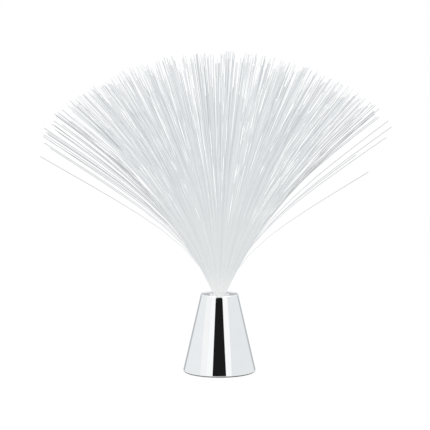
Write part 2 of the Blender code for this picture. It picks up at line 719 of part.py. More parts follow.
def make_cap_and_board(tab_at):
    """The cap over the tubes and the round board on it, with their shared screws."""
    recess = cap_radius - CAP_RIM
    profile = [
        (0.0, cap_top),
        (cap_radius, cap_top),
        (cap_radius, high_strap),
        (recess, high_strap),
        (recess, cap_ceiling),
        (0.0, cap_ceiling),
    ]
    cap = turned("well_cap", profile, PLATE_GREY, PLATE_STEPS)
    board = drum("circuit_board", board_radius, board_low, board_top, steps=PLATE_STEPS, material=BOARD_GREEN)
    inside_cap = (cap_ceiling + cap_top) / 2
    hole = BOARD_SCREW_RADIUS + SEAT_GAP
    low = well_top
    high = board_top + CUT_OVERRUN
    for i, angle in enumerate(BOARD_SCREW_ANGLES, 1):
        at = polar(board_screw_circle, angle)
        join(cap, drum(f"cap_foot_{i}", BOARD_BOSS_RADIUS, high_strap, inside_cap, at, SMALL_STEPS))
        cut(cap, drum(f"cap_hole_{i}", hole, low, high, at, SMALL_STEPS))
        cut(board, drum(f"board_hole_{i}", hole, low, high, at, SMALL_STEPS))
        seat_at = polar(board_screw_circle, angle, light_low)
        length = light_low - well_top + BOARD_SCREW_GRIP
        sizes = (BOARD_SCREW_HEAD_RADIUS, BOARD_SCREW_HEAD, BOARD_SCREW_RADIUS, length)
        screw(f"board_screw_{i}", sizes, seat_at, up=False)
    slit = (CONTACT_THICKNESS + 2 * SEAT_GAP, TAB_WIDTH + 2 * SEAT_GAP, high - low)
    middle = polar(tab_at, CELL_ANGLES[0], (low + high) / 2)
    cut(cap, block("cap_slit", slit, middle, CELL_ANGLES[0]))
    cut(board, block("board_slit", slit, middle, CELL_ANGLES[0]))

    # The lead to the board passes a notch in the cap's edge.
    notch_start = lead_column - LEAD_RADIUS - SEAT_GAP
    notch_end = cap_radius + CUT_OVERRUN
    notch = (notch_end - notch_start, 2 * (LEAD_RADIUS + SEAT_GAP), high - low)
    middle = polar((notch_start + notch_end) / 2, LEAD_SIDE, (low + high) / 2)
    cut(cap, block("lead_notch", notch, middle, LEAD_SIDE))


def make_light():
    """The light, the cup that gathers it under the fibres, and its driver chip."""
    dome = arc((0.0, led_top - LED_RADIUS), LED_RADIUS, 90, 0)
    led_profile = [
        (0.0, led_top),
        *dome[1:],
        (LED_RADIUS, light_low + LED_FLANGE_HEIGHT),
        (LED_FLANGE_RADIUS, light_low + LED_FLANGE_HEIGHT),
        (LED_FLANGE_RADIUS, light_low),
        (0.0, light_low),
    ]
    turned("led", led_profile, LENS_CLEAR, CELL_STEPS)
    throat = LED_FLANGE_RADIUS + SEAT_GAP
    cup_profile = [
        (cup_radius - CUP_LIP, light_low + CUP_HEIGHT),
        (cup_radius, light_low + CUP_HEIGHT),
        (cup_radius, light_low),
        (throat, light_low),
        (throat, light_low + LED_FLANGE_HEIGHT + SEAT_GAP),
    ]
    turned("light_cup", cup_profile, WHITE_PLASTIC, TUBE_STEPS, ring=True)
    chip_at = (cup_radius + board_radius) / 2
    centre = polar(chip_at, CELL_ANGLES[1], light_low + CHIP_HEIGHT / 2)
    size = (CHIP_WIDTH, CHIP_LENGTH, CHIP_HEIGHT)
    block("driver_chip", size, centre, CELL_ANGLES[1], EDGE_ROUND, CHIP_BLACK)


def make_switch():
    """The slide switch on its two stakes, and the slider that it traps."""
    low = web_top + SEAT_GAP
    centre = Vector((0.0, -switch_circle, low + SWITCH_HEIGHT / 2))
    body = block("switch_body", (SWITCH_LENGTH, switch_width, SWITCH_HEIGHT), centre, material=STEEL)
    ear_length = SWITCH_LENGTH + 2 * EAR_REACH
    ear_middle = Vector((0.0, -switch_circle, low + EAR_THICKNESS / 2))
    join(body, block("switch_ears", (ear_length, EAR_WIDTH_SHARE * switch_width, EAR_THICKNESS), ear_middle))
    for i in (-1, 0, 1):
        name = f"switch_lug_{i + 2}"
        size = (LUG_WIDTH, LUG_THICKNESS, 2 * LUG_HEIGHT)
        at = Vector((i * LUG_PITCH, -switch_circle, low + SWITCH_HEIGHT))
        join(body, block(name, size, at))
    for side in (-1, 1):
        at = Vector((side * (SWITCH_LENGTH + EAR_REACH) / 2, -switch_circle, 0.0))
        name = "ear_hole_left" if side < 0 else "ear_hole_right"
        hole = STAKE_RADIUS + SEAT_GAP
        high = low + EAR_THICKNESS + CUT_OVERRUN
        cut(body, drum(name, hole, low - CUT_OVERRUN, high, at, SMALL_STEPS))
    slider_low = low + SWITCH_SKIN + SEAT_GAP
    room = (
        SLIDER_LENGTH + SWITCH_TRAVEL + 2 * SEAT_GAP,
        slider_width + 2 * SEAT_GAP,
        SLIDER_HEIGHT + 2 * SEAT_GAP,
    )
    room_middle = Vector((0.0, -switch_circle, low + SWITCH_SKIN + room[2] / 2))
    cut(body, block("slider_room", room, room_middle))
    mouth = (
        KNOB_LENGTH + SWITCH_TRAVEL + 2 * SEAT_GAP,
        knob_width + 2 * SEAT_GAP,
        2 * (SWITCH_SKIN + SEAT_GAP),
    )
    cut(body, block("slider_mouth", mouth, Vector((0.0, -switch_circle, low))))

    # The slider stands at the off end of its travel.
    off = Vector((-SWITCH_TRAVEL / 2, -switch_circle, slider_low + SLIDER_HEIGHT / 2))
    slider = block("switch_slider", (SLIDER_LENGTH, slider_width, SLIDER_HEIGHT), off, material=KNOB_BLACK)
    knob_low = plate_bottom + KNOB_SUNK
    knob_high = slider_low + SLIDER_HEIGHT / 2
    size = (KNOB_LENGTH, knob_width, knob_high - knob_low)
    join(slider, block("knob", size, Vector((off.x, off.y, (knob_low + knob_high) / 2))))


def make_leads():
    """Two insulated leads: blade to switch, and switch to board."""
    lug_top = web_top + SEAT_GAP + SWITCH_HEIGHT + LUG_HEIGHT + SEAT_GAP
    blade_top = pan_top + BLADE_RISE + SEAT_GAP
    first_lug = Vector((-LUG_PITCH, -switch_circle, lug_top))
    blade = polar(blade_circle, LEAD_SIDE, blade_top)
    over = max(lug_top, blade_top) + LEAD_BEND
    between = (blade + first_lug) / 2
    stops = [
        blade,
        blade + Vector((0.0, 0.0, LEAD_BEND / 2)),
        Vector((between.x, between.y, over)),
        first_lug + Vector((0.0, 0.0, LEAD_BEND / 2)),
        first_lug,
    ]
    tube("lead_blade_to_switch", smooth_route(stops), LEAD_RADIUS, LEAD_BLACK)

    middle_lug = Vector((0.0, -switch_circle, lug_top))
    column_low = polar(lead_column, LEAD_SIDE, (lug_top + cap_top) / 2)
    column_high = polar(lead_column, LEAD_SIDE, board_top)
    pad = polar((cup_radius + board_radius) / 2 + LEAD_BEND / 2, LEAD_SIDE, light_low)
    over_board = (column_high + pad) / 2
    over_board.z = light_low + LEAD_BEND
    stops = [
        middle_lug,
        middle_lug + Vector((0.0, 0.0, LEAD_BEND)),
        column_low,
        column_high,
        over_board,
        pad + Vector((0.0, 0.0, LEAD_BEND / 2)),
        pad,
    ]
    tube("lead_switch_to_board", smooth_route(stops), LEAD_RADIUS, LEAD_RED)


def make_ferrule():
    """The flanged sleeve that the fibres are potted into."""
    profile = [
        (ferrule_bore, base_height),
        (flange_radius - EDGE_ROUND, base_height),
        (flange_radius, base_height - EDGE_ROUND),
        (flange_radius, flange_low),
        (sleeve_radius, flange_low),
        (sleeve_radius, sleeve_low + EDGE_ROUND),
        (sleeve_radius - EDGE_ROUND, sleeve_low),
        (ferrule_bore, sleeve_low),
    ]
    turned("ferrule", profile, WHITE_PLASTIC, PLATE_STEPS, ring=True)


def potted_face(bm):
    """The end of the potted bundle: rings of vertices with triangles between them."""
    pitch = BUNDLE_RADIUS / STRAND_RINGS
    rings = [[bm.verts.new((0.0, 0.0, base_height))]]
    for k in range(1, STRAND_RINGS + 1):
        count = 6 * k
        rings.append(
            [bm.verts.new(polar(k * pitch, math.tau * j / count, base_height)) for j in range(count)]
        )
    roots = []
    for k in range(1, STRAND_RINGS + 1):
        inner, outer = rings[k - 1], rings[k]
        for sector in range(6):
            for j in range(k):
                a = outer[sector * k + j]
                b = outer[(sector * k + j + 1) % len(outer)]
                c = inner[(sector * (k - 1) + j) % len(inner)]
                outward = bm.faces.new((a, b, c))
                if sector % 2 == 0:
                    roots.append(outward)
                if j:
                    d = inner[(sector * (k - 1) + j - 1) % len(inner)]
                    inward = bm.faces.new((a, c, d))
                    if sector % 2:
                        roots.append(inward)
    return roots, rings[-1]


def strand_plans(roots, chance):
    """For each root: its middle, its heading, its lean at both ends and its length."""
    plans = []
    for face in roots:
        middle = face.calc_center_median()
        share = math.hypot(middle.x, middle.y) / BUNDLE_RADIUS
        heading = math.atan2(middle.y, middle.x)
        end = share * END_LEAN + chance.uniform(-LEAN_SPREAD, LEAN_SPREAD)
        turn = chance.uniform(-LEAN_SPREAD, LEAN_SPREAD)
        length = STRAND_LENGTH * (1 - LENGTH_SPREAD_SHARE * chance.random() ** 2)
        rim_share = 1 - 1 / STRAND_RINGS
        if share > rim_share:
            end += STRAY_LEAN * chance.random() ** 2
        plans.append([middle, heading, turn, share * START_LEAN, end, length])
    for compass in range(4):
        wanted = math.tau * compass / 4
        widest = max(plans, key=lambda plan: plan[0] @ polar(1.0, wanted))
        widest[1] = wanted
        widest[2] = 0.0
        widest[4] = END_LEAN + WIDEST_LEAN
        widest[5] = STRAND_LENGTH
    return plans


def station(plan, share):
    """Where a strand's middle is after a share of its length, and how it leans there."""
    middle, heading, turn, start, end, length = plan
    lean = start + (end - start) * share
    bow = (lean - start) / 2
    chord = length * share * (math.sin(bow) / bow if bow else 1.0)
    way = (start + lean) / 2
    heading = heading + turn * share / max(math.sin(end), math.sin(LEAN_SPREAD * 2))
    point = middle + polar(chord * math.sin(way), heading, chord * math.cos(way))
    axis = Vector((-math.sin(heading), math.cos(heading), 0.0))
    return point, Matrix.Rotation(lean, 3, axis)


def make_fibres():
    """The fibres: three-sided strands that fan out of the potted slice and never cross."""
    bm = bmesh.new()
    roots, outline = potted_face(bm)
    plans = strand_plans(roots, random.Random(SEED))
    slim_share = STRAND_WIDTH * STRAND_RINGS / BUNDLE_RADIUS
    for root, plan in zip(roots, plans):
        below = list(root.verts)
        corners = [(vertex.co - plan[0]) * slim_share for vertex in below]
        bm.faces.remove(root)
        for share in STATION_SHARES:
            point, tilt = station(plan, share)
            above = [bm.verts.new(point + tilt @ corner) for corner in corners]
            for i in range(len(above)):
                bm.faces.new((below[i - 1], below[i], above[i], above[i - 1]))
            below = above
        bm.faces.new(below)
    edges = [bm.edges.get((a, b)) for a, b in zip(outline, outline[1:] + outline[:1])]
    skirt = bmesh.ops.extrude_edge_only(bm, edges=edges)["geom"]
    lower = [thing for thing in skirt if isinstance(thing, bmesh.types.BMVert)]
    for vertex in lower:
        vertex.co.z = bundle_low
    rim = [thing for thing in skirt if isinstance(thing, bmesh.types.BMEdge) and thing.is_boundary]
    bmesh.ops.contextual_create(bm, geom=rim)
    bmesh.ops.recalc_face_normals(bm, faces=bm.faces)
    mesh = bpy.data.meshes.new("fibre_bundle")
    bm.to_mesh(mesh)
    bm.free()
    place("fibre_bundle", mesh, FIBRE)
    print(f"fibre_bundle: {len(roots)} strands")


def main():
    """Build every piece of the lamp."""
    make_shell()
    make_plate()
    make_pads()
    make_cells()
    tab_at = make_contacts()
    make_door()
    make_cap_and_board(tab_at)
    make_light()
    make_switch()
    make_leads()
    make_ferrule()
    make_fibres()
    print(f"base height {base_height * 1000:.2f} mm, board at {board_low * 1000:.2f} mm")


main()
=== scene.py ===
# %% [markdown]
# # A lamp with a spray of optical fibres
#
# The lamp is a small chromed cone that stands on a pale table. Out of its top fans a spray of clear
# plastic fibres, each thinner than half a millimetre. This lesson dresses the solid model of the lamp:
# the frame gives every piece its place and size, and each cell below makes one piece or one finish.

# %% Load the frame
import json
import math
import random

import bpy
from mathutils import Matrix, Vector


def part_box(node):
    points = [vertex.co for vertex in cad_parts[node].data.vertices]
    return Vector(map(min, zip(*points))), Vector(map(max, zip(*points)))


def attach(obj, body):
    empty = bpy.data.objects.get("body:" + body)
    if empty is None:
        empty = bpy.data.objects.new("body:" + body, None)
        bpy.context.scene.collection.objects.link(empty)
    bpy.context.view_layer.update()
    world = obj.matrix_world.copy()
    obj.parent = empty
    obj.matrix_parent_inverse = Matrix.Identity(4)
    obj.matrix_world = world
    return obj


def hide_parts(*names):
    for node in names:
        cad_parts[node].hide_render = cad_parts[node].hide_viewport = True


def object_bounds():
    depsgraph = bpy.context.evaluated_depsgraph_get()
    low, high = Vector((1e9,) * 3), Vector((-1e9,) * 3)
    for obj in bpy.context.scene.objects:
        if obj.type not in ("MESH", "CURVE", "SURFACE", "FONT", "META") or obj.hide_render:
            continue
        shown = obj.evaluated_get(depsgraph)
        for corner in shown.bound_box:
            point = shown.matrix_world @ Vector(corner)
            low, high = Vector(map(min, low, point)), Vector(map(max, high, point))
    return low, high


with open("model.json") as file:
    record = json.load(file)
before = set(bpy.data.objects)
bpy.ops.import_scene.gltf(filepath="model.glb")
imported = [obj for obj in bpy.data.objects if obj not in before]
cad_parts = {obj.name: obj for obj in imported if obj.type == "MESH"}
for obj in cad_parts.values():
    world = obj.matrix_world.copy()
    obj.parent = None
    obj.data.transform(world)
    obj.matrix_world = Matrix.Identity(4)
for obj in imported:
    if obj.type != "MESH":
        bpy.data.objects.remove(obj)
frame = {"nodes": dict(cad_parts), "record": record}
nodes = frame["nodes"]
cad_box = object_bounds()
print("the solid model's box:", [[round(x, 4) for x in corner] for corner in cad_box])

# %% [markdown]
# ## Small helpers
#
# Operators act on whatever is selected, and loading leaves the solid nodes selected. So each piece starts
# from an empty selection. A piece is also finished in the same way every time: its place goes into its
# mesh, its faces are shaded smooth up to an angle, and it rides on the body that carries it.

# %% Helpers for pieces
WELD = 0.000002


def pick_only(thing):
    """Select one object and nothing else."""
    bpy.ops.object.select_all(action="DESELECT")
    thing.select_set(True)
    bpy.context.view_layer.objects.active = thing


def placed(name, data):
    """Put an object into the scene."""
    thing = bpy.data.objects.new(name, data)
    bpy.context.scene.collection.objects.link(thing)
    return thing


def mesh_piece(name, points, edges=(), faces=()):
    """An object made of plain lists of points, edges and faces."""
    mesh = bpy.data.meshes.new(name)
    mesh.from_pydata(points, edges, faces)
    return placed(name, mesh)


def middle_of(name):
    """Where the middle of a solid is, seen from above."""
    low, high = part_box(name)
    return ((low.x + high.x) / 2, (low.y + high.y) / 2)


def finish_piece(thing, name, body, material, crease, replaces):
    """Name a piece, bake its place into its mesh, shade it, and let it ride on its body."""
    pick_only(thing)
    thing.name = name
    thing.data.name = name
    bpy.ops.object.transform_apply(location=True, rotation=True, scale=True)
    bpy.ops.object.shade_smooth_by_angle(angle=math.radians(crease))
    thing.data.materials.clear()
    thing.data.materials.append(material)
    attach(thing, body)
    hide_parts(*replaces)
    print(name, "rides on", body, "and has", len(thing.data.polygons), "faces")


def apply_modifiers(thing):
    """Apply a piece's modifiers in their order."""
    pick_only(thing)
    for modifier in list(thing.modifiers):
        bpy.ops.object.modifier_apply(modifier=modifier.name)


def join_pieces(first, other):
    """Make one mesh of two objects."""
    pick_only(first)
    other.select_set(True)
    bpy.ops.object.join()


def start_editing(thing):
    """Enter edit mode with all of one piece selected."""
    pick_only(thing)
    bpy.ops.object.mode_set(mode="EDIT")
    bpy.ops.mesh.select_all(action="SELECT")


def end_editing():
    """Merge doubled points, turn the faces outwards, and leave edit mode."""
    bpy.ops.mesh.select_all(action="SELECT")
    bpy.ops.mesh.remove_doubles(threshold=WELD)
    bpy.ops.mesh.normals_make_consistent(inside=False)
    bpy.ops.object.mode_set(mode="OBJECT")


# %% [markdown]
# ## Turning a profile
#
# The cone, the ferrule and the pads are all turned shapes. On a lathe the outline is drawn once and swept
# round the axis. In Blender the spin operator does that in edit mode. A stack of cylinders could give the
# same volumes, but not the rolled lip. After the sweep the doubled seam is merged, and the faces are
# turned outwards.

# %% The lathe
def turned(profile, steps, closed=True):
    """Spin an outline, given as radius and height in metres, round the upright axis."""
    count = len(profile)
    edges = [(i, i + 1) for i in range(count - 1)]
    if closed:
        edges.append((count - 1, 0))
    thing = mesh_piece("outline", [(r, 0.0, z) for r, z in profile], edges)
    start_editing(thing)
    bpy.ops.mesh.spin(steps=steps, angle=math.tau, center=(0, 0, 0), axis=(0, 0, 1))
    end_editing()
    return thing


def arc(middle, radius, start, end, steps):
    """Points of a round stretch of an outline, its angles in degrees from outward."""
    points = []
    for i in range(steps + 1):
        angle = math.radians(start + (end - start) * i / steps)
        points.append((middle[0] + radius * math.cos(angle), middle[1] + radius * math.sin(angle)))
    return points


# %% [markdown]
# ## Writing finishes as sums
#
# A finish is a network of nodes. Written one node at a time it is hard to read, so a small class wraps a
# socket and lets Python's own signs build the Math nodes. One method makes any other node. What is the
# same all over a piece is given by name when the finish is made.

# %% A socket with arithmetic
class Wire:
    """One output socket of a network, with arithmetic."""

    def __init__(self, network, socket):
        self.network = network
        self.socket = socket

    def math(self, operation, *others):
        values = dict(enumerate((self, *others)))
        return self.network.node("ShaderNodeMath", {"operation": operation}, values)

    def __add__(self, other):
        return self.math("ADD", other)

    def __radd__(self, other):
        return self.math("ADD", other)

    def __sub__(self, other):
        return self.math("SUBTRACT", other)

    def __rsub__(self, other):
        return self.network.node("ShaderNodeMath", {"operation": "SUBTRACT"}, {0: other, 1: self})

    def __mul__(self, other):
        return self.math("MULTIPLY", other)

    def __truediv__(self, other):
        return self.math("DIVIDE", other)

    def above(self, low, high):
        """Zero below low, one above high, and a smooth rise between."""
        settings = {"interpolation_type": "SMOOTHSTEP", "clamp": True}
        values = {"Value": self, "From Min": low, "From Max": high}
        return self.network.node("ShaderNodeMapRange", settings, values)


# %% A network, and a finish
class Network:
    """A tree of nodes, built by calls."""

    def __init__(self, tree):
        self.tree = tree

    def plug(self, socket, value):
        if isinstance(value, Wire):
            self.tree.links.new(value.socket, socket)
        elif hasattr(socket.default_value, "__len__") and hasattr(value, "__len__"):
            size = len(socket.default_value)
            socket.default_value = (*value, 1.0)[:size]
        else:
            socket.default_value = value

    def node(self, kind, settings=None, values=None, output=0):
        """Make any node: its settings first, then the values or wires of its sockets."""
        made = self.tree.nodes.new(kind)
        for key, value in (settings or {}).items():
            if key == "stops":
                ramp = made.color_ramp.elements
                while len(ramp) < len(value):
                    ramp.new(0.5)
                for stop, (place, colour) in zip(ramp, value):
                    stop.position = place
                    stop.color = (*colour, 1.0)
            else:
                setattr(made, key, value)
        for key, value in (values or {}).items():
            self.plug(made.inputs[key], value)
        return Wire(self, made.outputs[output]) if len(made.outputs) else None

    def mix_shaders(self, share, first, second):
        return self.node("ShaderNodeMixShader", {}, {0: share, 1: first, 2: second})


class Finish(Network):
    """A material whose surface is one Principled shader."""

    def __init__(self, name, **constants):
        self.material = bpy.data.materials.new(name)
        self.material.use_nodes = True
        super().__init__(self.material.node_tree)
        self.shader = self.tree.nodes["Principled BSDF"]
        for key, value in constants.items():
            self.set(key.replace("_", " ").title().replace("Ior", "IOR"), value)

    def set(self, name, value):
        self.plug(self.shader.inputs[name], value)

    def place(self, scale=(1.0, 1.0, 1.0), centre=(0.0, 0.0, 0.0)):
        """Object coordinates, in metres, moved and stretched."""
        here = self.node("ShaderNodeTexCoord", output="Object")
        moved = self.node("ShaderNodeVectorMath", {"operation": "SUBTRACT"}, {0: here, 1: centre})
        return self.node("ShaderNodeVectorMath", {"operation": "MULTIPLY"}, {0: moved, 1: scale})

    def noise(self, scale, detail=3.0, rough=0.5):
        values = {"Vector": self.place(), "Scale": scale, "Detail": detail, "Roughness": rough}
        return self.node("ShaderNodeTexNoise", {}, values)

    def mix(self, share, first, second):
        """Blend two colours by a share from zero to one."""
        settings = {"data_type": "RGBA", "clamp_factor": True}
        return self.node("ShaderNodeMix", settings, {0: share, 6: first, 7: second}, 2)

    def ramp(self, share, *stops):
        return self.node("ShaderNodeValToRGB", {"stops": stops}, {0: share})

    def cells(self, vector, scale, randomness=1.0):
        """Distance from the middle of the nearest cell of a pattern."""
        values = {"Vector": vector, "Scale": scale, "Randomness": randomness}
        return self.node("ShaderNodeTexVoronoi", {"feature": "F1"}, values, "Distance")

    def length(self, vector):
        return self.node("ShaderNodeVectorMath", {"operation": "LENGTH"}, {0: vector}, "Value")

    def tones(self, share, *stops):
        """Let a share pick the base colour from places and colours."""
        self.set("Base Color", self.ramp(share, *stops))

    def bump(self, height, strength, distance):
        """Let a height, in shares of a distance in metres, tilt the surface."""
        values = {"Height": height, "Strength": strength, "Distance": distance}
        self.set("Normal", self.node("ShaderNodeBump", {}, values))


print("helpers are ready")

# %% [markdown]
# ## The camera
#
# The picture is taken from a little above the table, with a long lens, so the spray shows almost no
# perspective. The lens and height below lay the cone's two rims where they are seen in a square picture.

# %% Camera
PICTURE = 430
FOCAL_PIXELS = 1438.0
CAMERA_AWAY = 1.449
CAMERA_HEIGHT = 0.292
LOOKS_DOWN = math.radians(5.2)
AXIS_OFF_CENTRE = 4.5

camera_data = bpy.data.cameras.new("camera")
camera_data.sensor_width = 36.0
camera_data.lens = 36.0 * FOCAL_PIXELS / PICTURE
camera = placed("camera", camera_data)
camera.location = (-AXIS_OFF_CENTRE / FOCAL_PIXELS * CAMERA_AWAY, -CAMERA_AWAY, CAMERA_HEIGHT)
camera.rotation_euler = (math.pi / 2 - LOOKS_DOWN, 0.0, 0.0)
bpy.context.scene.camera = camera
bpy.context.scene.view_settings.view_transform = "Standard"
print("lens:", round(camera_data.lens, 1), "mm")

# %% [markdown]
# ## The table and the room
#
# The lamp stands on a white table before a white wall. To keep both clean without flooding the lamp with
# light, the camera sees them as plain white, and so do mirrors and glass. The floor still takes a little
# of the lamp's shadow, and from below it is clear, so that the underside can be looked at.

# %% White room
WHITE = (1.0, 1.0, 1.0)
ROOM_LIGHT = 0.80

world = bpy.data.worlds.new("white_room")
bpy.context.scene.world = world
world.use_nodes = True
world.node_tree.nodes.clear()
network = Network(world.node_tree)


def seen_directly(network):
    """A share that is one for rays from the camera, a mirror or glass, and zero for light on surfaces."""
    kinds = ("Is Camera Ray", "Is Glossy Ray", "Is Transmission Ray")
    first, second, third = [network.node("ShaderNodeLightPath", output=kind) for kind in kinds]
    return first.math("MAXIMUM", second).math("MAXIMUM", third)


room = network.node("ShaderNodeBackground", {}, {"Color": WHITE, "Strength": ROOM_LIGHT})
white = network.node("ShaderNodeBackground", {}, {"Color": WHITE, "Strength": 1.0})
choice = network.mix_shaders(seen_directly(network), room, white)
network.node("ShaderNodeOutputWorld", {}, {"Surface": choice})

# %% White table
FLOOR_SIZE = 4.0
FLOOR_GLOW = 1.04
SHADOW_SHARE = 0.12


def bare_material(name):
    """A material without any node yet."""
    material = bpy.data.materials.new(name)
    material.use_nodes = True
    material.node_tree.nodes.clear()
    return material


floor_material = bare_material("white_table")
network = Network(floor_material.node_tree)
paint = network.node("ShaderNodeBsdfDiffuse", {}, {"Color": (0.9, 0.9, 0.9)})
glow = network.node("ShaderNodeEmission", {}, {"Color": WHITE, "Strength": FLOOR_GLOW})
choice = network.mix_shaders(seen_directly(network) * (1.0 - SHADOW_SHARE), paint, glow)
from_below = network.node("ShaderNodeNewGeometry", output="Backfacing")
surface = network.mix_shaders(from_below, choice, network.node("ShaderNodeBsdfTransparent"))
network.node("ShaderNodeOutputMaterial", {}, {"Surface": surface})

bpy.ops.object.select_all(action="DESELECT")
bpy.ops.mesh.primitive_plane_add(size=FLOOR_SIZE)
floor = bpy.context.object
floor.name = "table_top"
floor.data.materials.append(floor_material)

# %% [markdown]
# ## Lamps and cards
#
# Chrome has no colour of its own: it shows the room. The dark stripe down the middle of the cone is the
# reflection of something dark behind the camera, like an open doorway. The panels at both sides are large
# and pale, the thin edges are grey, and a grey wall behind fills the flat ring. Each is a card that only
# mirrors see.

# %% Soft lamps
AIM = Vector((0, 0, 0.15))
LAMP_SIZE = 1.0


def soft_lamp(name, place, watts):
    """A large square lamp that points at the lower part of the spray."""
    data = bpy.data.lights.new(name, "AREA")
    data.shape = "SQUARE"
    data.size = LAMP_SIZE
    data.energy = watts
    lamp = placed(name, data)
    lamp.location = place
    lamp.rotation_euler = (AIM - Vector(place)).to_track_quat("-Z", "Y").to_euler()


soft_lamp("key_light", (-1.1, -1.0, 1.5), 7.0)
soft_lamp("fill_light", (1.2, -0.8, 1.2), 4.0)

# %% Where the camera's rays go from the cone
CARD_AWAY = 1.6
ABOVE_TABLE = 0.9
LIP_OUT = 0.019
LIP_ROUND = 0.0008
cone_low, cone_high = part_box("base_shell")
FOOT = cone_high.x
LIP_MIDDLE = cone_high.z - LIP_ROUND
taper = (FOOT - LIP_OUT) / (LIP_MIDDLE - cone_low.z)


def cone_radius(height):
    """Outer radius of the cone at a height."""
    return FOOT - taper * (height - cone_low.z)


def bounce(angle, height):
    """The point above the table that the camera sees mirrored in the cone, at an angle and a height."""
    radius = cone_radius(height)
    spot = Vector((radius * math.sin(angle), -radius * math.cos(angle), height))
    normal = Vector((math.sin(angle), -math.cos(angle), taper)).normalized()
    way = (spot - camera.location).normalized().reflect(normal)
    away = CARD_AWAY
    if way.z < 0:
        away = min(away, ABOVE_TABLE * height / -way.z)
    return spot + way * away


# %% Cards that only mirrors see
CARD_LOW = -0.004
CARD_HIGH = 0.085
CARD_ROWS = 24
CARD_COLUMNS = 12
CORNER_SHARE = 0.3


def card(name, rows, colour):
    """A card of one brightness, seen in mirrors alone. Each row of points is as long as the last."""
    material = bare_material(name)
    network = Network(material.node_tree)
    glow = network.node("ShaderNodeEmission", {}, {"Color": colour})
    network.node("ShaderNodeOutputMaterial", {}, {"Surface": glow})
    wide = len(rows[0])
    faces = []
    for i in range(len(rows) - 1):
        for j in range(wide - 1):
            first = i * wide + j
            faces.append((first, first + 1, first + wide + 1, first + wide))
    thing = mesh_piece(name, [point for row in rows for point in row], faces=faces)
    thing.data.materials.append(material)
    thing.visible_camera = False
    thing.visible_diffuse = False
    thing.visible_shadow = False
    thing.visible_transmission = False


def mirrored_card(name, left, right, colour, low=CARD_LOW, high=CARD_HIGH, top_round=0.0):
    """A card whose mirror image fills the cone between two angles, in degrees at foot and lip."""
    rows = []
    for i in range(CARD_ROWS + 1):
        height = low + (high - low) * (1 - (1 - i / CARD_ROWS) ** 2)
        share = height / cone_high.z
        first = left[0] + (left[1] - left[0]) * share
        last = right[0] + (right[1] - right[0]) * share
        if top_round and height > high - top_round:
            drop = 1 - (high - height) / top_round
            shrink = (last - first) * CORNER_SHARE * (1 - math.sqrt(max(0.0, 1 - drop * drop)))
            first, last = first + shrink, last - shrink
        shares = [j / CARD_COLUMNS for j in range(CARD_COLUMNS + 1)]
        angles = [math.radians(first + (last - first) * across) for across in shares]
        rows.append([bounce(angle, height) for angle in angles])
    card(name, rows, colour)


DOORWAY_TOP = 0.0785
DOORWAY_ROUND = 0.0012
NEAR_BLACK = (0.013, 0.012, 0.012)
EDGE_GREY = (0.50, 0.52, 0.54)
EDGE_LOW = 0.002
LEFT_EDGE = (-74, -69)
RIGHT_EDGE = (74, 69)
LEFT_RIM = (-89.9, -89.9)
RIGHT_RIM = (89.9, 89.9)
left, right = (-11, -11.5), (10.4, 9.0)
mirrored_card("dark_doorway", left, right, NEAR_BLACK, high=DOORWAY_TOP, top_round=DOORWAY_ROUND)
mirrored_card("pale_panel", (-31, -41), (-21, -23), (0.95, 0.95, 0.95))
mirrored_card("left_panel", LEFT_EDGE, (-31, -41), (0.86, 0.88, 0.89))
mirrored_card("right_panel", (19, 24), RIGHT_EDGE, (0.82, 0.84, 0.85))
mirrored_card("left_edge", LEFT_RIM, LEFT_EDGE, EDGE_GREY, low=EDGE_LOW)
mirrored_card("right_edge", RIGHT_EDGE, RIGHT_RIM, EDGE_GREY, low=EDGE_LOW)

# %% A grey wall behind, for the flat ring
WALL_RISES = [math.radians(up) for up in (3, 8, 13, 20, 30, 42, 55)]
WALL_TURNS = [math.radians(turn) for turn in range(-30, 31, 10)]
behind = []
for up in WALL_RISES:
    flat = CARD_AWAY * math.cos(up)
    high = cone_high.z + CARD_AWAY * math.sin(up)
    behind.append([(flat * math.sin(turn), flat * math.cos(turn), high) for turn in WALL_TURNS])
card("far_wall", behind, (0.50, 0.51, 0.52))
print("lamps and cards are up")

# %% [markdown]
# ## Chrome
#
# The cone is moulded in plastic and plated. Plating is a mirror with the faintest ripple of the moulding
# under it, a slight haze, and a few marks from handling. The colour is that of chromium, a little cooler
# than silver.

# %% Chrome finish
chrome = Finish("plated_chrome", metallic=1.0)
haze = chrome.noise(90.0, 4.0, 0.6)
chrome.tones(haze, (0.3, (0.93, 0.94, 0.95)), (0.7, (0.96, 0.965, 0.97)))
wear = chrome.noise(420.0, 5.0, 0.65)
chrome.set("Roughness", wear * 0.014 + 0.003)
chrome.bump(chrome.noise(45.0, 1.0, 0.4), 0.1, 0.000002)

# %% [markdown]
# ## The chromed cone
#
# The real cone is one moulding: a tapered wall, a lip rolled inwards, a flat ring set just below the lip,
# and a socket in its middle that takes the ferrule. Here its outline is drawn once, from the lower edge
# up over the lip and down again inside, and spun.

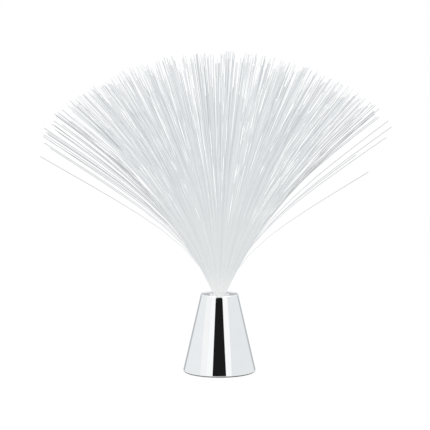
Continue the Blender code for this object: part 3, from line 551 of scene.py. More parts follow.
# %% Cone
WALL = 0.002
SEAT_RADIUS = 0.0102
SEAT_HEIGHT = 0.0785
SOCKET_IN = 0.0088
SOCKET_OUT = 0.0103
SOCKET_LOW = 0.066
RING_LOW = 0.077
EDGE = 0.0003
tilt = math.degrees(math.atan(taper))
inner = WALL * math.hypot(1, taper)
wall_start = cone_low.z + 1.4 * EDGE
wall_end = LIP_MIDDLE - 0.0001
SUPPORT = 0.0002
wall_rings = [0.008, 0.02, 0.035, 0.05, 0.062, 0.072]
wall_rings = [wall_start, wall_start + SUPPORT, *wall_rings, wall_end - SUPPORT, wall_end]
profile = [
    (cone_radius(cone_low.z) - inner, cone_low.z),
    *arc((FOOT - EDGE * 1.1, cone_low.z + EDGE), EDGE, -90, tilt, 4),
    *[(cone_radius(z), z) for z in wall_rings],
    *arc((LIP_OUT - LIP_ROUND * 1.02, LIP_MIDDLE), LIP_ROUND, tilt, 172, 12),
    (LIP_OUT - 2 * LIP_ROUND - 0.00005, LIP_MIDDLE + 0.00005),
    (LIP_OUT - 2 * LIP_ROUND - 0.0002, LIP_MIDDLE),
    (SEAT_RADIUS + 0.0002, LIP_MIDDLE),
    (SEAT_RADIUS, LIP_MIDDLE - 0.0002),
    (SEAT_RADIUS, SEAT_HEIGHT),
    (SOCKET_IN, SEAT_HEIGHT),
    (SOCKET_IN, SOCKET_LOW),
    (SOCKET_OUT, SOCKET_LOW),
    (SOCKET_OUT, RING_LOW),
    (cone_radius(RING_LOW) - inner, RING_LOW),
]
cone = turned(profile, 192)
finish_piece(cone, "chromed_cone", "base", chrome.material, 30.0, ["base_shell"])
print("the cone's taper:", round(tilt, 2), "degrees")

# %% [markdown]
# ## White moulded plastic
#
# The ferrule is a plain white moulding. Close up it has a fine eroded texture and a slightly uneven
# gloss.

# %% White plastic finish
white_plastic = Finish("white_moulding")
tone = white_plastic.noise(300.0, 3.0, 0.5)
white_plastic.tones(tone, (0.35, (0.90, 0.90, 0.895)), (0.65, (0.94, 0.94, 0.935)))
white_plastic.set("Roughness", white_plastic.noise(700.0, 2.0) * 0.15 + 0.3)
white_plastic.bump(white_plastic.noise(5200.0, 2.0), 0.35, 0.00002)

# %% [markdown]
# ## The ferrule
#
# A sleeve with a flange. The fibres are glued into it, and the flange rests in the seat of the cone's
# ring, where it shows as a thin white disc round the neck of the spray.

# %% Ferrule
ferrule_low, ferrule_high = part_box("ferrule")
FLANGE = ferrule_high.x
SLEEVE = 0.0085
BORE = 0.0075
FLANGE_LOW = 0.0788
profile = [
    (BORE + 0.0003, ferrule_high.z),
    *arc((FLANGE - 0.0004, ferrule_high.z - 0.0004), 0.0004, 90, 0, 4),
    (FLANGE, FLANGE_LOW),
    (SLEEVE, FLANGE_LOW),
    (SLEEVE, ferrule_low.z + 0.0004),
    (SLEEVE - 0.0004, ferrule_low.z),
    (BORE, ferrule_low.z),
    (BORE, ferrule_high.z - 0.0003),
]
ferrule = turned(profile, 96)
finish_piece(ferrule, "white_ferrule", "spray", white_plastic.material, 30.0, ["ferrule"])

# %% [markdown]
# ## The potted slice
#
# Below the neck the fibres are bonded with clear resin, cut, and polished, so that light enters every
# fibre. From below it is a disc of tiny round ends. The pattern of cells in the finish gives those ends.

# %% Potted slice
resin = Finish("potted_ends", roughness=0.22)
ends = resin.cells(resin.place(), 2600.0, 0.25)
resin.tones(ends, (0.25, (0.86, 0.90, 0.93)), (0.48, (0.55, 0.57, 0.58)))

BUNDLE = 0.0072
SLICE_LOW = 0.072
profile = [
    (0.0, ferrule_high.z - 0.0002),
    (BUNDLE - 0.0004, ferrule_high.z - 0.0003),
    (BUNDLE, ferrule_high.z - 0.0006),
    (BUNDLE, SLICE_LOW + 0.0002),
    (BUNDLE - 0.0002, SLICE_LOW),
    (0.0, SLICE_LOW),
]
slice_piece = turned(profile, 64, closed=False)
finish_piece(slice_piece, "potted_slice", "spray", resin.material, 30.0, ["fibre_bundle"])

# %% [markdown]
# ## One fibre, then the spray
#
# Each fibre leaves the neck at a slant that grows from the middle to the rim, and bends outwards under
# its own weight. Fibres cling together in tufts, and some at the rim droop. One straight fibre is
# modelled: a four-sided ring, extruded in steps. Every fibre of the spray is a copy of it, laid along its
# own curve. Hair particles could make a spray too, but a mesh keeps its thickness in every file.

# %% One straight fibre
FIBRE_STEPS = 8
bpy.ops.object.select_all(action="DESELECT")
bpy.ops.mesh.primitive_circle_add(vertices=4, radius=1.0, fill_type="NGON")
straight = bpy.context.object
start_editing(straight)
for step in range(FIBRE_STEPS):
    bpy.ops.mesh.extrude_region_move(TRANSFORM_OT_translate={"value": (0, 0, 1.0 / FIBRE_STEPS)})
end_editing()
rod_points = [vertex.co.copy() for vertex in straight.data.vertices]
rod_faces = [tuple(face.vertices) for face in straight.data.polygons]
bpy.data.objects.remove(straight)
print("one fibre:", len(rod_faces), "faces")

# %% The way a fibre bends
NECK = ferrule_high.z
FIBRE_LENGTH = 0.246
START_LEAN = math.radians(26.3)
END_LEAN = math.radians(58.4)
BEND_STEPS = 16


def along(root, heading, start, end, length, share, ease):
    """Where a fibre is after a share of its length, and how far it leans there.

    The lean grows evenly along the fibre, or sooner if ease is above one.
    """
    out = Vector((math.cos(heading), math.sin(heading), 0.0))
    place = root.copy()
    for i in range(BEND_STEPS):
        lean = start + (end - start) * (1 - (1 - share * (i + 0.5) / BEND_STEPS) ** ease)
        place += (out * math.sin(lean) + Vector((0, 0, math.cos(lean)))) * (length * share / BEND_STEPS)
    return place, start + (end - start) * (1 - (1 - share) ** ease)


# %% Plans of all the fibres
FIBRE_COUNT = 1240
GOLDEN = math.pi * (3 - math.sqrt(5))
TUFTS = 170
# how far each fibre is drawn to the nearest tuft, and how far it strays from there
PULL_LEAST = 0.2
PULL_SPREAD = 0.6
SCATTER = 0.010
# the lean towards the camera and away from it, and how much less it is at the sides
DEPTH_SHARE = 0.99
ACROSS_LESS = 0.095
RIGHT_LESS = 0.045
# fibres at the rim droop, a few of them much, and less so at the right
RIM = 0.93
DROOP_RARITY = 2.8
DROOP_MOST = 0.68
DROOP_RIGHT_LESS = 0.25
DROOP_EASE = 2
DROOP_START = 0.3
DROOP_END = math.radians(4)
# how much shorter some fibres are, and the box that keeps all of them
SHORTER = 0.05
SHORT_STEP = 0.0005
WIDEST = cad_box[1][0] - 0.0006
TALLEST = cad_box[1][2] - 0.0004
ROOT_DISC = BUNDLE - 0.0015
ROOT_HEIGHT = NECK - 0.0007
chance = random.Random(11)


def on_disc(index, count, turn=0.0):
    """Even places on a disc of radius one, laid out like the seeds of a sunflower."""
    share = math.sqrt((index + 0.5) / count)
    angle = index * GOLDEN + turn
    return Vector((math.cos(angle), math.sin(angle))) * share


def kept_inside(plan):
    """Shorten a fibre until its tip is inside the solid model's box."""
    while True:
        tip = along(*plan[:5], 1.0, plan[5])[0]
        if max(abs(tip.x), abs(tip.y)) < WIDEST and tip.z < TALLEST:
            return plan
        plan[4] -= SHORT_STEP


tufts = [on_disc(i, TUFTS, 0.4) for i in range(TUFTS)]
plans = []
for i in range(FIBRE_COUNT):
    spot = on_disc(i, FIBRE_COUNT)
    root = Vector((spot.x * ROOT_DISC, spot.y * ROOT_DISC, ROOT_HEIGHT))
    near = min(tufts, key=lambda tuft: (tuft - spot).length_squared)
    target = spot + (near - spot) * (PULL_LEAST + PULL_SPREAD * chance.random())
    target += Vector((chance.gauss(0, SCATTER), chance.gauss(0, SCATTER)))
    reach = target.length
    heading = math.atan2(target.y, target.x)
    side = math.cos(heading)
    start_lean = reach * START_LEAN
    end_lean = reach * END_LEAN * (DEPTH_SHARE - ACROSS_LESS * side ** 2 - RIGHT_LESS * side)
    ease = 1.0
    if spot.length > RIM:
        droop = chance.random() ** DROOP_RARITY * (DROOP_MOST - DROOP_RIGHT_LESS * side)
        ease += DROOP_EASE * droop
        start_lean *= 1 - DROOP_START * droop
        end_lean += DROOP_END * droop
    length = FIBRE_LENGTH * (1 - SHORTER * chance.random() ** 1.5)
    plans.append(kept_inside([root, heading, start_lean, end_lean, length, ease]))

# %% The widest fibres, placed one by one at both sides
# heading, lean at the start and at the end in degrees, ease, share of the full length
LEFT_STRAYS = [
    (180, 16, 60.0, 4.0, 0.955), (178, 17, 56.5, 3.2, 0.975), (183, 17, 57.0, 3.3, 0.95),
    (172, 18, 58.0, 3.4, 0.93), (188, 19, 55.0, 2.6, 0.97), (176, 19, 53.5, 2.4, 0.97),
    (184, 19, 54.0, 2.2, 0.98), (170, 18, 55.0, 2.6, 0.955),
]
RIGHT_STRAYS = [
    (0, 18, 54.0, 2.8, 0.985), (4, 17, 55.5, 3.0, 0.945), (-4, 16, 58.0, 3.6, 0.79),
    (-7, 19, 52.5, 2.4, 0.99), (6, 19, 53.0, 1.9, 0.985), (-2, 20, 52.0, 1.7, 0.97),
    (2, 19, 54.0, 2.2, 0.80), (-5, 20, 52.0, 1.5, 0.975),
]
strays = []
for heading, start, end, ease, share in LEFT_STRAYS + RIGHT_STRAYS:
    heading = math.radians(heading)
    root = Vector((math.cos(heading), math.sin(heading), 0.0)) * ROOT_DISC
    root.z = ROOT_HEIGHT
    plan = [root, heading, math.radians(start), math.radians(end), FIBRE_LENGTH * share, ease]
    strays.append(kept_inside(plan))
print(len(plans), "fibres and", len(strays), "strays")

# %% [markdown]
# ## The look of the fibres
#
# Real glass or plastic this thin needs many light bounces, and turns noisy. So the fibres are opaque
# here, in five close greys that change from the neck to the tips. The glow and the change of grey are
# painted light. The glow stands in for the white room seen through the fibres. The neck is painted paler
# against the shade of the crowded fibres, and the tips are painted greyer as painted shade.

# %% Finishes of the fibres
# painted light: the fibres glow in their own colour, though they are no lamp
OWN_LIGHT = 1.6
# painted light: a paler colour at the neck, against the shade of the crowded fibres
NECK_PAINTED_LIGHT = (0.326, 0.326, 0.326)
PALE = (0.300, 0.308, 0.311)


def fibre_finish(name, near, far, start=0.1, end=0.95, painted_highlight_streaks=False):
    """Clear plastic before a white room, in painted light: paler at the neck and, in most looks, greyer
    farther out.

    A clear fibre passes on the white of the room behind it, and that share is painted in as a glow of its
    own. The pale neck is painted light against the shade where the fibres crowd. The greyer tips are
    painted shade, and streaks are painted highlights.
    """
    made = Finish(name, roughness=0.22, IOR=1.49, emission_strength=OWN_LIGHT)
    out = made.length(made.place(centre=(0.0, 0.0, NECK))) / FIBRE_LENGTH
    neck_light = 1.0 - out.above(0.0, 0.15)
    # farther from the neck the colour turns to the far one: painted shade in most looks, a painted
    # highlight in the bright one
    painted_tip_share = out.above(start, end)
    # painted highlight: bright streaks of the far colour along the fibre
    if painted_highlight_streaks:
        painted_tip_share = painted_tip_share * made.noise(40.0, 0.0).above(0.48, 0.56)
    colour = made.mix(painted_tip_share, near, far)
    colour = made.mix(neck_light, colour, NECK_PAINTED_LIGHT)
    made.set("Base Color", colour)
    # painted light: the same colour glows
    made.set("Emission Color", colour)
    return made


fibre_looks = [
    fibre_finish("fibre_clear", (0.292, 0.302, 0.305), (0.264, 0.275, 0.283)),
    fibre_finish("fibre_pale", PALE, (0.300, 0.309, 0.315)),
    fibre_finish("fibre_grey", (0.284, 0.294, 0.298), (0.205, 0.215, 0.225)),
    # painted highlight: a brighter far colour, in streaks, on a share of the fibres
    fibre_finish("fibre_bright", PALE, (0.43, 0.43, 0.43), 0.25, 0.6, painted_highlight_streaks=True),
    # painted shade: dark grey tips for the fibres at both sides
    fibre_finish("fibre_edge", (0.280, 0.288, 0.293), (0.160, 0.167, 0.175), 0.2, 0.75),
]
fibre_shares = [0.39, 0.26, 0.20, 0.15]

# %% Lay the fibres
FIBRE_RADIUS = 0.00025
SWAY = 0.0006
EDGE_EASE = 1.15
EDGE_SIDE = 0.9
groups = [[] for look in fibre_looks]
for plan in plans:
    pick = chance.random()
    for index, part in enumerate(fibre_shares):
        pick -= part
        if pick <= 0:
            break
    # painted shade: drooping fibres at both sides, and the strays, take the dark edge look
    droops = plan[5] > EDGE_EASE and abs(math.cos(plan[1])) > EDGE_SIDE
    groups[-1 if droops else index].append(plan)
groups[-1] += strays

for look, group in zip(fibre_looks, groups):
    points = []
    faces = []
    for root, heading, start, end, length, ease in group:
        first = len(points)
        axis = Vector((-math.sin(heading), math.cos(heading), 0.0))
        sway = chance.gauss(0, SWAY)
        stations = {}
        for point in rod_points:
            share = round(point.z, 4)
            if share not in stations:
                place, lean = along(root, heading, start, end, length, share, ease)
                place = place + axis * (sway * math.sin(share * math.pi * 1.5))
                stations[share] = (place, Matrix.Rotation(lean, 3, axis))
            place, turn = stations[share]
            across = Vector((point.x, point.y, 0.0)) * FIBRE_RADIUS
            points.append(place + turn @ across)
        faces += [tuple(first + v for v in face) for face in rod_faces]
    name = look.material.name + "s"
    thing = mesh_piece(name, points, faces=faces)
    finish_piece(thing, name, "spray", look.material, 60.0, ["fibre_bundle"])
    print(name, "holds", len(group), "fibres")

# %% [markdown]
# ## Grey moulded plastic
#
# The base plate, its door and the cap over the cells are injection moulded and never painted. Such parts
# leave a spark-eroded mould with a fine matt grain. The noise in the bump gives that grain, a broader
# noise gives the uneven gloss of handling, and the colour hardly changes, because the pigment is in the
# plastic.

# %% Grey plastic finish
def moulded(name, dark, light, roughness, grain=0.00003):
    """Moulded plastic with a fine grain and a slightly worn gloss."""
    made = Finish(name)
    made.tones(made.noise(240.0, 4.0), (0.35, dark), (0.65, light))
    handled = made.noise(90.0, 2.0).above(0.4, 0.7)
    made.set("Roughness", made.noise(1500.0, 2.0) * 0.12 + (roughness - 0.06) - handled * 0.08)
    made.bump(made.noise(4600.0, 3.0, 0.6), 0.5, grain)
    return made


grey_plastic = moulded("grey_moulding", (0.150, 0.150, 0.158), (0.178, 0.178, 0.186), 0.52)
black_plastic = moulded("black_moulding", (0.016, 0.016, 0.017), (0.028, 0.028, 0.029), 0.42, 0.00002)
door_plastic = moulded("door_moulding", (0.165, 0.165, 0.172), (0.192, 0.192, 0.200), 0.50)

# %% Ripples on the door, for a fingertip
out = door_plastic.length(door_plastic.place((1, 1, 0)))
on_band = out.above(0.0072, 0.0074) - out.above(0.0128, 0.0130)
ripples = (out * 5600.0).math("SINE") * 0.5 + 0.5
grain = door_plastic.noise(4600.0, 3.0, 0.6)
door_plastic.bump(ripples * on_band * 3.0 + grain * 0.6, 0.5, 0.00004)

# %% [markdown]
# ## Softened mouldings
#
# A real moulding has no knife edge, and its round walls are smooth. The solid model has flat facets and
# sharp edges, because it is made for fit. Its own mesh is the starting point here: it is welded, its flat
# faces are joined, its round edges are split into shorter chords, and a narrow bevel rounds every sharp
# edge. Modelling it all again would risk a wall that no longer fits the others.

# %% Rounder circles
ALIKE = 0.000006
SMALLEST_CIRCLE = 0.002
LONGEST_CHORD = 0.45


def split_chords(thing, centre):
    """Halve each chord of the circles round an upright axis, and push the new points out."""
    mesh = thing.data
    where = [vertex.co.xy - centre for vertex in mesh.vertices]
    rings = {}
    for edge in mesh.edges:
        a, b = edge.vertices
        radius = where[a].length
        level = abs(mesh.vertices[a].co.z - mesh.vertices[b].co.z) < ALIKE / 2
        alike = abs(radius - where[b].length) < ALIKE
        chord = (where[a] - where[b]).length
        if level and alike and radius > SMALLEST_CIRCLE and chord < LONGEST_CHORD * radius:
            rings[edge.index] = (a, b)
    met = [vertex for ends in rings.values() for vertex in ends]
    corners = {vertex for vertex in set(met) if met.count(vertex) > 1}
    pick_only(thing)
    bpy.context.tool_settings.mesh_select_mode = (False, True, False)
    bpy.ops.object.mode_set(mode="EDIT")
    bpy.ops.mesh.select_all(action="DESELECT")
    bpy.ops.object.mode_set(mode="OBJECT")
    radii = {}
    for index, (a, b) in rings.items():
        if a in corners and b in corners:
            mesh.edges[index].select = True
            middle = (mesh.vertices[a].co + mesh.vertices[b].co) / 2
            radii[tuple(round(x, 6) for x in middle)] = where[a].length
    before = len(mesh.vertices)
    bpy.ops.object.mode_set(mode="EDIT")
    bpy.ops.mesh.subdivide(number_cuts=1, ngon=True)
    bpy.ops.object.mode_set(mode="OBJECT")
    for vertex in mesh.vertices[before:]:
        radius = radii.get(tuple(round(x, 6) for x in vertex.co))
        if radius:
            out = vertex.co.xy - centre
            vertex.co.xy = centre + out * (radius / out.length)
    bpy.context.tool_settings.mesh_select_mode = (True, False, False)


# %% Soften solids
def softened(name, body, material, width=0.00012, crease=40.0, axes=()):
    """Weld a copy of a solid's mesh, and round its circles and sharp edges."""
    source = nodes[name]
    thing = placed(name + "_soft", source.data.copy())
    thing.matrix_world = source.matrix_world.copy()
    pick_only(thing)
    bpy.ops.mesh.customdata_custom_splitnormals_clear()
    start_editing(thing)
    bpy.ops.mesh.remove_doubles(threshold=WELD)
    bpy.ops.mesh.dissolve_limited(angle_limit=math.radians(0.6))
    end_editing()
    for centre in axes:
        split_chords(thing, Vector(centre))
        split_chords(thing, Vector(centre))
    bevel = thing.modifiers.new("edges", "BEVEL")
    bevel.width = width
    bevel.segments = 2
    bevel.limit_method = "ANGLE"
    bevel.angle_limit = math.radians(crease)
    apply_modifiers(thing)
    finish_piece(thing, name + "_soft", body, material, crease, [name])
    level = thing.modifiers.new("flat_faces", "WEIGHTED_NORMAL")
    level.keep_sharp = True
    level.weight = 100
    apply_modifiers(thing)
    return thing


wells = [middle_of(f"cell_{i}") for i in (1, 2, 3)]
softened("base_plate", "base", grey_plastic.material, 0.0001, axes=[(0, 0), *wells])
softened("battery_door", "door", door_plastic.material, axes=[(0, 0)])
softened("well_cap", "base", grey_plastic.material, 0.0001)
softened("light_cup", "base", white_plastic.material)

# %% [markdown]
# ## Foam pads
#
# Four round pads are die-cut from black foam sheet. The cut bulges a little, so the outline is round at
# both edges. Open cells pit the surface, which the cell pattern in the finish draws in the bump. The same
# pattern paints the bottom of each pit darker, as painted shade.

# %% Pads
foam = Finish("black_foam")
pits_and_painted_shade = foam.cells(foam.place(), 2400.0)
# painted shade: the colour is darker at the bottom of each pit
foam.tones(pits_and_painted_shade, (0.1, (0.012, 0.012, 0.012)), (0.6, (0.045, 0.045, 0.046)))
foam.set("Roughness", 0.9 + pits_and_painted_shade * 0.1)
foam.bump(pits_and_painted_shade + foam.noise(900.0), 0.8, 0.00012)
for i in (1, 2, 3, 4):
    name = f"foot_pad_{i}"
    low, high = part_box(name)
    radius = (high.x - low.x) / 2
    bulge = (high.z - low.z) * 0.2
    profile = [
        (0.0, low.z),
        *arc((radius - bulge, low.z + bulge), bulge, -90, 0, 4),
        *arc((radius - bulge, high.z - bulge), bulge, 0, 90, 4),
        (0.0, high.z),
    ]
    pad = turned(profile, 48, closed=False)
    pad.location = (*middle_of(name), 0.0)
    finish_piece(pad, f"pad_{i}", "base", foam.material, 35.0, [name])

# %% [markdown]
# ## Screws
#
# Pan-head screws with a cross recess hold the plate, the door and the board. The head is turned, the
# cross is cut with a tapered cutter, and the thread is one ridge swept round the shank by the screw
# operator. They are zinc plated, which is a soft bright metal with a faint yellow and blue cast.

# %% Zinc finish
zinc = Finish("zinc_plate", metallic=1.0)
cast = zinc.noise(400.0, 3.0)
zinc.tones(cast, (0.3, (0.60, 0.61, 0.64)), (0.5, (0.66, 0.66, 0.65)), (0.7, (0.68, 0.66, 0.60)))
zinc.set("Roughness", zinc.noise(1400.0, 4.0) * 0.25 + 0.2)
zinc.bump(zinc.noise(3200.0, 3.0), 0.3, 0.00001)

# %% One ridge of a thread
CORE = 0.76
PITCH = 0.00055


def thread(radius, low, high):
    """One right-handed ridge that runs down round a core from high towards low, closed at both ends."""
    core = radius * CORE
    shape = [(core, 0.0), (core, 0.22), (radius, 0.46), (radius, 0.58), (core, 0.82), (core, 1.0)]
    edges = [(i, i + 1) for i in range(len(shape) - 1)]
    thing = mesh_piece("ridge", [(r, 0.0, high - PITCH + z * PITCH) for r, z in shape], edges)
    start_editing(thing)
    turns = max(2, int((high - low) / PITCH) - 1)
    bpy.ops.mesh.screw(steps=20, turns=turns, center=(0, 0, 0), axis=(0, 0, -1))
    bpy.ops.mesh.select_all(action="SELECT")
    bpy.ops.mesh.remove_doubles(threshold=WELD)
    bpy.ops.mesh.fill_holes(sides=0)
    end_editing()
    return thing


# %% Screws with recess and thread
def screw_piece(name, body, head_height, shank, up):
    """A pan-head screw in the place of a solid one. Its shank points up, or down if up is false."""
    low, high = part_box(name)
    head = (high.x - low.x) / 2
    core = shank * (CORE + 0.02)
    length = high.z - low.z - head_height
    profile = [
        (0.0, -head_height),
        (head * 0.55, -head_height),
        (head * 0.82, -head_height * 0.86),
        (head * 0.96, -head_height * 0.5),
        (head, -head_height * 0.12),
        (head * 0.98, 0.0),
        (core, 0.0),
        (core, length - shank * 0.8),
        (0.0, length),
    ]
    thing = turned(profile, 32, closed=False)
    cutters = []
    for turn in (0, math.pi / 2):
        bpy.ops.object.select_all(action="DESELECT")
        bpy.ops.mesh.primitive_cube_add(size=1.0)
        cutter = bpy.context.object
        cutter.scale = (head * 1.15, head * 0.24, head_height * 1.1)
        bpy.ops.object.transform_apply(location=False, rotation=False, scale=True)
        for vertex in cutter.data.vertices:
            if vertex.co.z > 0:
                vertex.co.x *= 0.35
        cutter.location = (0.0, 0.0, -head_height)
        cutter.rotation_euler = (0.0, 0.0, turn)
        cutters.append(cutter)
    for cutter in cutters:
        hollow = thing.modifiers.new("recess", "BOOLEAN")
        hollow.operation = "DIFFERENCE"
        hollow.solver = "EXACT"
        hollow.object = cutter
    apply_modifiers(thing)
    for cutter in cutters:
        bpy.data.objects.remove(cutter)
    join_pieces(thing, thread(shank, length * 0.12, length - shank * 0.7))
    if up:
        thing.location = (*middle_of(name), low.z + head_height)
    else:
        thing.location = (*middle_of(name), high.z - head_height)
        thing.rotation_euler = (math.pi, 0.0, 0.4)
    finish_piece(thing, name + "_threaded", body, zinc.material, 32.0, [name])


for i in (1, 2, 3):
    screw_piece(f"plate_screw_{i}", "base", 0.0014, 0.0012, True)
for i in (1, 2):
    screw_piece(f"door_screw_{i}", "door", 0.001, 0.001, True)
    screw_piece(f"board_screw_{i}", "base", 0.0013, 0.001, False)
print("screws are in")

# %% [markdown]
# ## Cells
#
# Three standard cells stand in the well, the middle one upside down, so that short straps join them in a
# row. Each is a nickelled can in a shrunk plastic sleeve. The sleeve folds over both ends and leaves the
# contacts bare. It stays plain here, with one darker band that tells the two ends apart.

# %% Metal and sleeve
nickel = Finish("nickel_plate", metallic=1.0)
nickel.tones(nickel.noise(500.0), (0.35, (0.66, 0.63, 0.57)), (0.65, (0.75, 0.72, 0.66)))
nickel.set("Roughness", nickel.noise(1700.0, 4.0) * 0.22 + 0.14)
nickel.bump(nickel.noise(2600.0, 2.0), 0.3, 0.00001)

sleeve = Finish("shrunk_sleeve")
upward = sleeve.node("ShaderNodeSeparateXYZ", {}, {0: sleeve.place()}, "Z")
band = upward.above(0.0185, 0.0187) - upward.above(0.0245, 0.0247)
body_colour = sleeve.ramp(sleeve.noise(160.0), (0.3, (0.62, 0.64, 0.67)), (0.7, (0.67, 0.69, 0.72)))
sleeve.set("Base Color", sleeve.mix(band, body_colour, (0.30, 0.33, 0.38)))
sleeve.set("Roughness", sleeve.noise(600.0) * 0.15 + 0.22)
sleeve.bump(sleeve.noise(500.0, 2.0), 0.3, 0.00003)

# %% Cells
for i in (1, 2, 3):
    name = f"cell_{i}"
    low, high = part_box(name)
    radius = (high.x - low.x) / 2
    length = high.z - low.z
    can = turned([
        (0.0, 0.00012),
        (radius * 0.66, 0.00012),
        (radius * 0.70, 0.0),
        (radius * 0.80, 0.0),
        (radius * 0.84, 0.0003),
        (radius * 0.84, length - 0.0012),
        (radius * 0.62, length - 0.0012),
        (radius * 0.58, length - 0.0014),
        (0.0029, length - 0.0014),
        (0.00275, length - 0.0012),
        (0.00275, length - 0.0002),
        (0.00255, length),
        (0.0, length),
    ], 48, closed=False)
    wrap = turned([
        (radius * 0.81, 0.0002),
        *arc((radius - 0.0006, 0.0007), 0.0006, -90, 0, 5),
        *arc((radius - 0.0006, length - 0.0017), 0.0006, 0, 90, 5),
        (radius * 0.62, length - 0.0011),
        (radius * 0.62, length - 0.0013),
        (radius * 0.82, length - 0.0013),
        (radius * 0.82, 0.0004),
    ], 64)
    pieces = ((can, "can", nickel, "nickel"), (wrap, "sleeve", sleeve, "cell_jacket"))
    for thing, tail, finish, slot in pieces:
        thing.location = (*middle_of(name), low.z)
        if i == 2:
            thing.location.z = high.z
            thing.rotation_euler = (math.pi, 0.0, 0.0)
        finish_piece(thing, f"{name}_{tail}", "base", finish.material, 32.0, [name])

# %% [markdown]
# ## Springs
#
# Each spring is a round wire wound in three turns. A curve with a round section follows the winding, and
# becomes a mesh. The wire climbs evenly, and its ends are capped.

# %% Springs
SPRING_WIRE = 0.0003
SPRING_TURNS = 3


def wound(name, body):
    """A coil of round wire in the place of a solid one."""
    low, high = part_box(name)
    radius = (high.x - low.x) / 2 - SPRING_WIRE
    count = 26 * SPRING_TURNS
    curve = bpy.data.curves.new(name, "CURVE")
    curve.dimensions = "3D"
    curve.bevel_depth = SPRING_WIRE
    curve.bevel_resolution = 3
    curve.use_fill_caps = True
    line = curve.splines.new("POLY")
    line.points.add(count)
    for i in range(count + 1):
        angle = math.tau * SPRING_TURNS * i / count
        height = SPRING_WIRE + (high.z - low.z - 2 * SPRING_WIRE) * i / count
        line.points[i].co = (radius * math.cos(angle), radius * math.sin(angle), height, 1.0)
    pick_only(placed(name, curve))
    bpy.ops.object.convert(target="MESH")
    thing = bpy.context.object
    thing.location = (*middle_of(name), low.z)
    finish_piece(thing, name + "_wound", body, nickel.material, 60.0, [name])


wound("top_spring", "base")
wound("door_spring_1", "door")
wound("door_spring_2", "door")

# %% [markdown]
# ## The slide switch
#
# The switch is a folded steel can on two stakes, and a black slider runs in it. The knob reaches through
# the plate, and its end has ribs for a fingertip. Its outline, ribs included, is drawn from the side and
# extruded across.

# %% Slider with a ribbed knob
low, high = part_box("switch_slider")
KNOB_LONG = 0.004
KNOB_WIDE = 0.00304
BLOCK_TALL = 0.002
knob_top = high.z - BLOCK_TALL + 0.0004
RIBS = 5
groove = low.z + 0.0003
step = KNOB_LONG / RIBS
outline = [(-KNOB_LONG / 2, knob_top), (-KNOB_LONG / 2, groove)]
for i in range(RIBS):
    first = -KNOB_LONG / 2 + step * i
    outline += [(first + 0.12 * step, low.z), (first + 0.58 * step, low.z)]
    outline += [(first + 0.72 * step, groove), (first + 0.98 * step, groove)]
outline.pop()
outline += [(KNOB_LONG / 2, groove), (KNOB_LONG / 2, knob_top)]
side_face = tuple(range(len(outline)))
knob = mesh_piece("knob", [(x, -KNOB_WIDE / 2, z) for x, z in outline], faces=[side_face])
start_editing(knob)
bpy.ops.mesh.extrude_region_move(TRANSFORM_OT_translate={"value": (0, KNOB_WIDE, 0)})
end_editing()
bpy.ops.object.select_all(action="DESELECT")
bpy.ops.mesh.primitive_cube_add(size=1.0)
block = bpy.context.object
block.scale = (high.x - low.x, high.y - low.y, BLOCK_TALL)
block.location = (0.0, 0.0, high.z - BLOCK_TALL / 2)
pick_only(block)
bpy.ops.object.transform_apply(location=True, rotation=False, scale=True)
join_pieces(block, knob)
rounding = block.modifiers.new("edges", "BEVEL")
rounding.width = 0.00008
rounding.segments = 2
rounding.limit_method = "ANGLE"
rounding.angle_limit = math.radians(50)
apply_modifiers(block)
block.location = (*middle_of("switch_slider"), 0.0)
finish_piece(block, "ribbed_slider", "switch", black_plastic.material, 35.0, ["switch_slider"])
softened("switch_body", "base", zinc.material, 0.00012)

# %% [markdown]
# ## The light
#
# The light is a clear epoxy dome over a tiny reflector cup. Its glow isn't shown, because the lamp is
# off. The dome is turned in one piece with its flange, and the clear resin lets the pale cup below show.

# %% Clear dome
clear = Finish("clear_epoxy", IOR=1.52, transmission_weight=0.75)
clear.tones(clear.noise(260.0), (0.3, (0.93, 0.95, 0.96)), (0.7, (0.97, 0.98, 0.98)))
clear.set("Roughness", clear.noise(900.0) * 0.06 + 0.03)
led_low, led_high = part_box("led")
DOME = 0.0025
flange = led_high.x
dome = turned([
    (0.0, led_low.z),
    (flange - 0.0002, led_low.z),
    (flange, led_low.z + 0.0002),
    (flange, led_low.z + 0.0009),
    (flange - 0.0001, led_low.z + 0.001),
    (DOME, led_low.z + 0.001),
    *arc((0.0, led_high.z - DOME), DOME, 0, 90, 12),
], 48, closed=False)
finish_piece(dome, "clear_dome", "base", clear.material, 30.0, ["led"])

# %% [markdown]
# ## The circuit board
#
# The round board is green lacquer over copper. Tracks show as lighter lines under the lacquer, and bare
# tinned pads shine between them. Both are drawn by patterns in the finish, since they stand no higher
# than a hair.

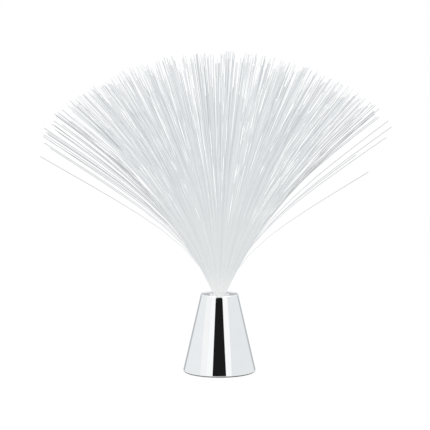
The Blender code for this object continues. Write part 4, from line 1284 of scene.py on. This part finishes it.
# %% Board finish
board = Finish("green_board")
grid = board.node("ShaderNodeTexBrick", {"offset": 0.0}, {
    "Vector": board.place((1.0, 1.0, 0.0)), "Scale": 210.0, "Mortar Size": 0.09, "Mortar Smooth": 0.2,
    "Brick Width": 0.9, "Row Height": 0.35,
    "Color1": (0.0, 0.0, 0.0), "Color2": (0.0, 0.0, 0.0), "Mortar": (1.0, 1.0, 1.0),
}, "Fac")
dots = board.cells(board.place((1.0, 1.0, 0.0)), 390.0, 0.35)
tinned = 1.0 - dots.above(0.16, 0.19)
lacquer = board.mix(grid, (0.015, 0.16, 0.065), (0.045, 0.27, 0.12))
board.set("Base Color", board.mix(tinned, lacquer, (0.72, 0.72, 0.70)))
board.set("Metallic", tinned)
board.set("Roughness", board.noise(800.0) * 0.15 + 0.25)
board.bump(grid + tinned, 0.4, 0.00003)
softened("circuit_board", "base", board.material, 0.0001)

# %% [markdown]
# ## Finishes of the pieces that keep their solid shapes
#
# Flat straps, the blade, the chip and the two leads are already what they should be. Each gets its own
# finish.

# %% Straps, chip and leads
def lead_finish(name, dark, light):
    """Soft coloured insulation."""
    made = Finish(name)
    made.tones(made.noise(700.0), (0.35, dark), (0.65, light))
    made.set("Roughness", made.noise(1500.0) * 0.15 + 0.33)
    made.bump(made.noise(2200.0), 0.3, 0.00001)
    return made.material


finishes = {
    "grey_abs": grey_plastic.material,
    "foam": foam.material,
    "steel": zinc.material,
    "nickel": nickel.material,
    "cell_jacket": sleeve.material,
    "board": board.material,
    "black_plastic": black_plastic.material,
    "lens": clear.material,
    "white_plastic": white_plastic.material,
    "lead_red": lead_finish("red_lead", (0.50, 0.028, 0.02), (0.60, 0.035, 0.025)),
    "lead_black": lead_finish("black_lead", (0.016, 0.016, 0.016), (0.03, 0.03, 0.03)),
    "chrome": chrome.material,
    "fibre": fibre_looks[0].material,
}
for part in frame["record"]["subparts"]:
    for slot in nodes[part["node"]].material_slots:
        slot.material = finishes[part["material_slot"]]
print("finishes laid on", len(nodes), "nodes")
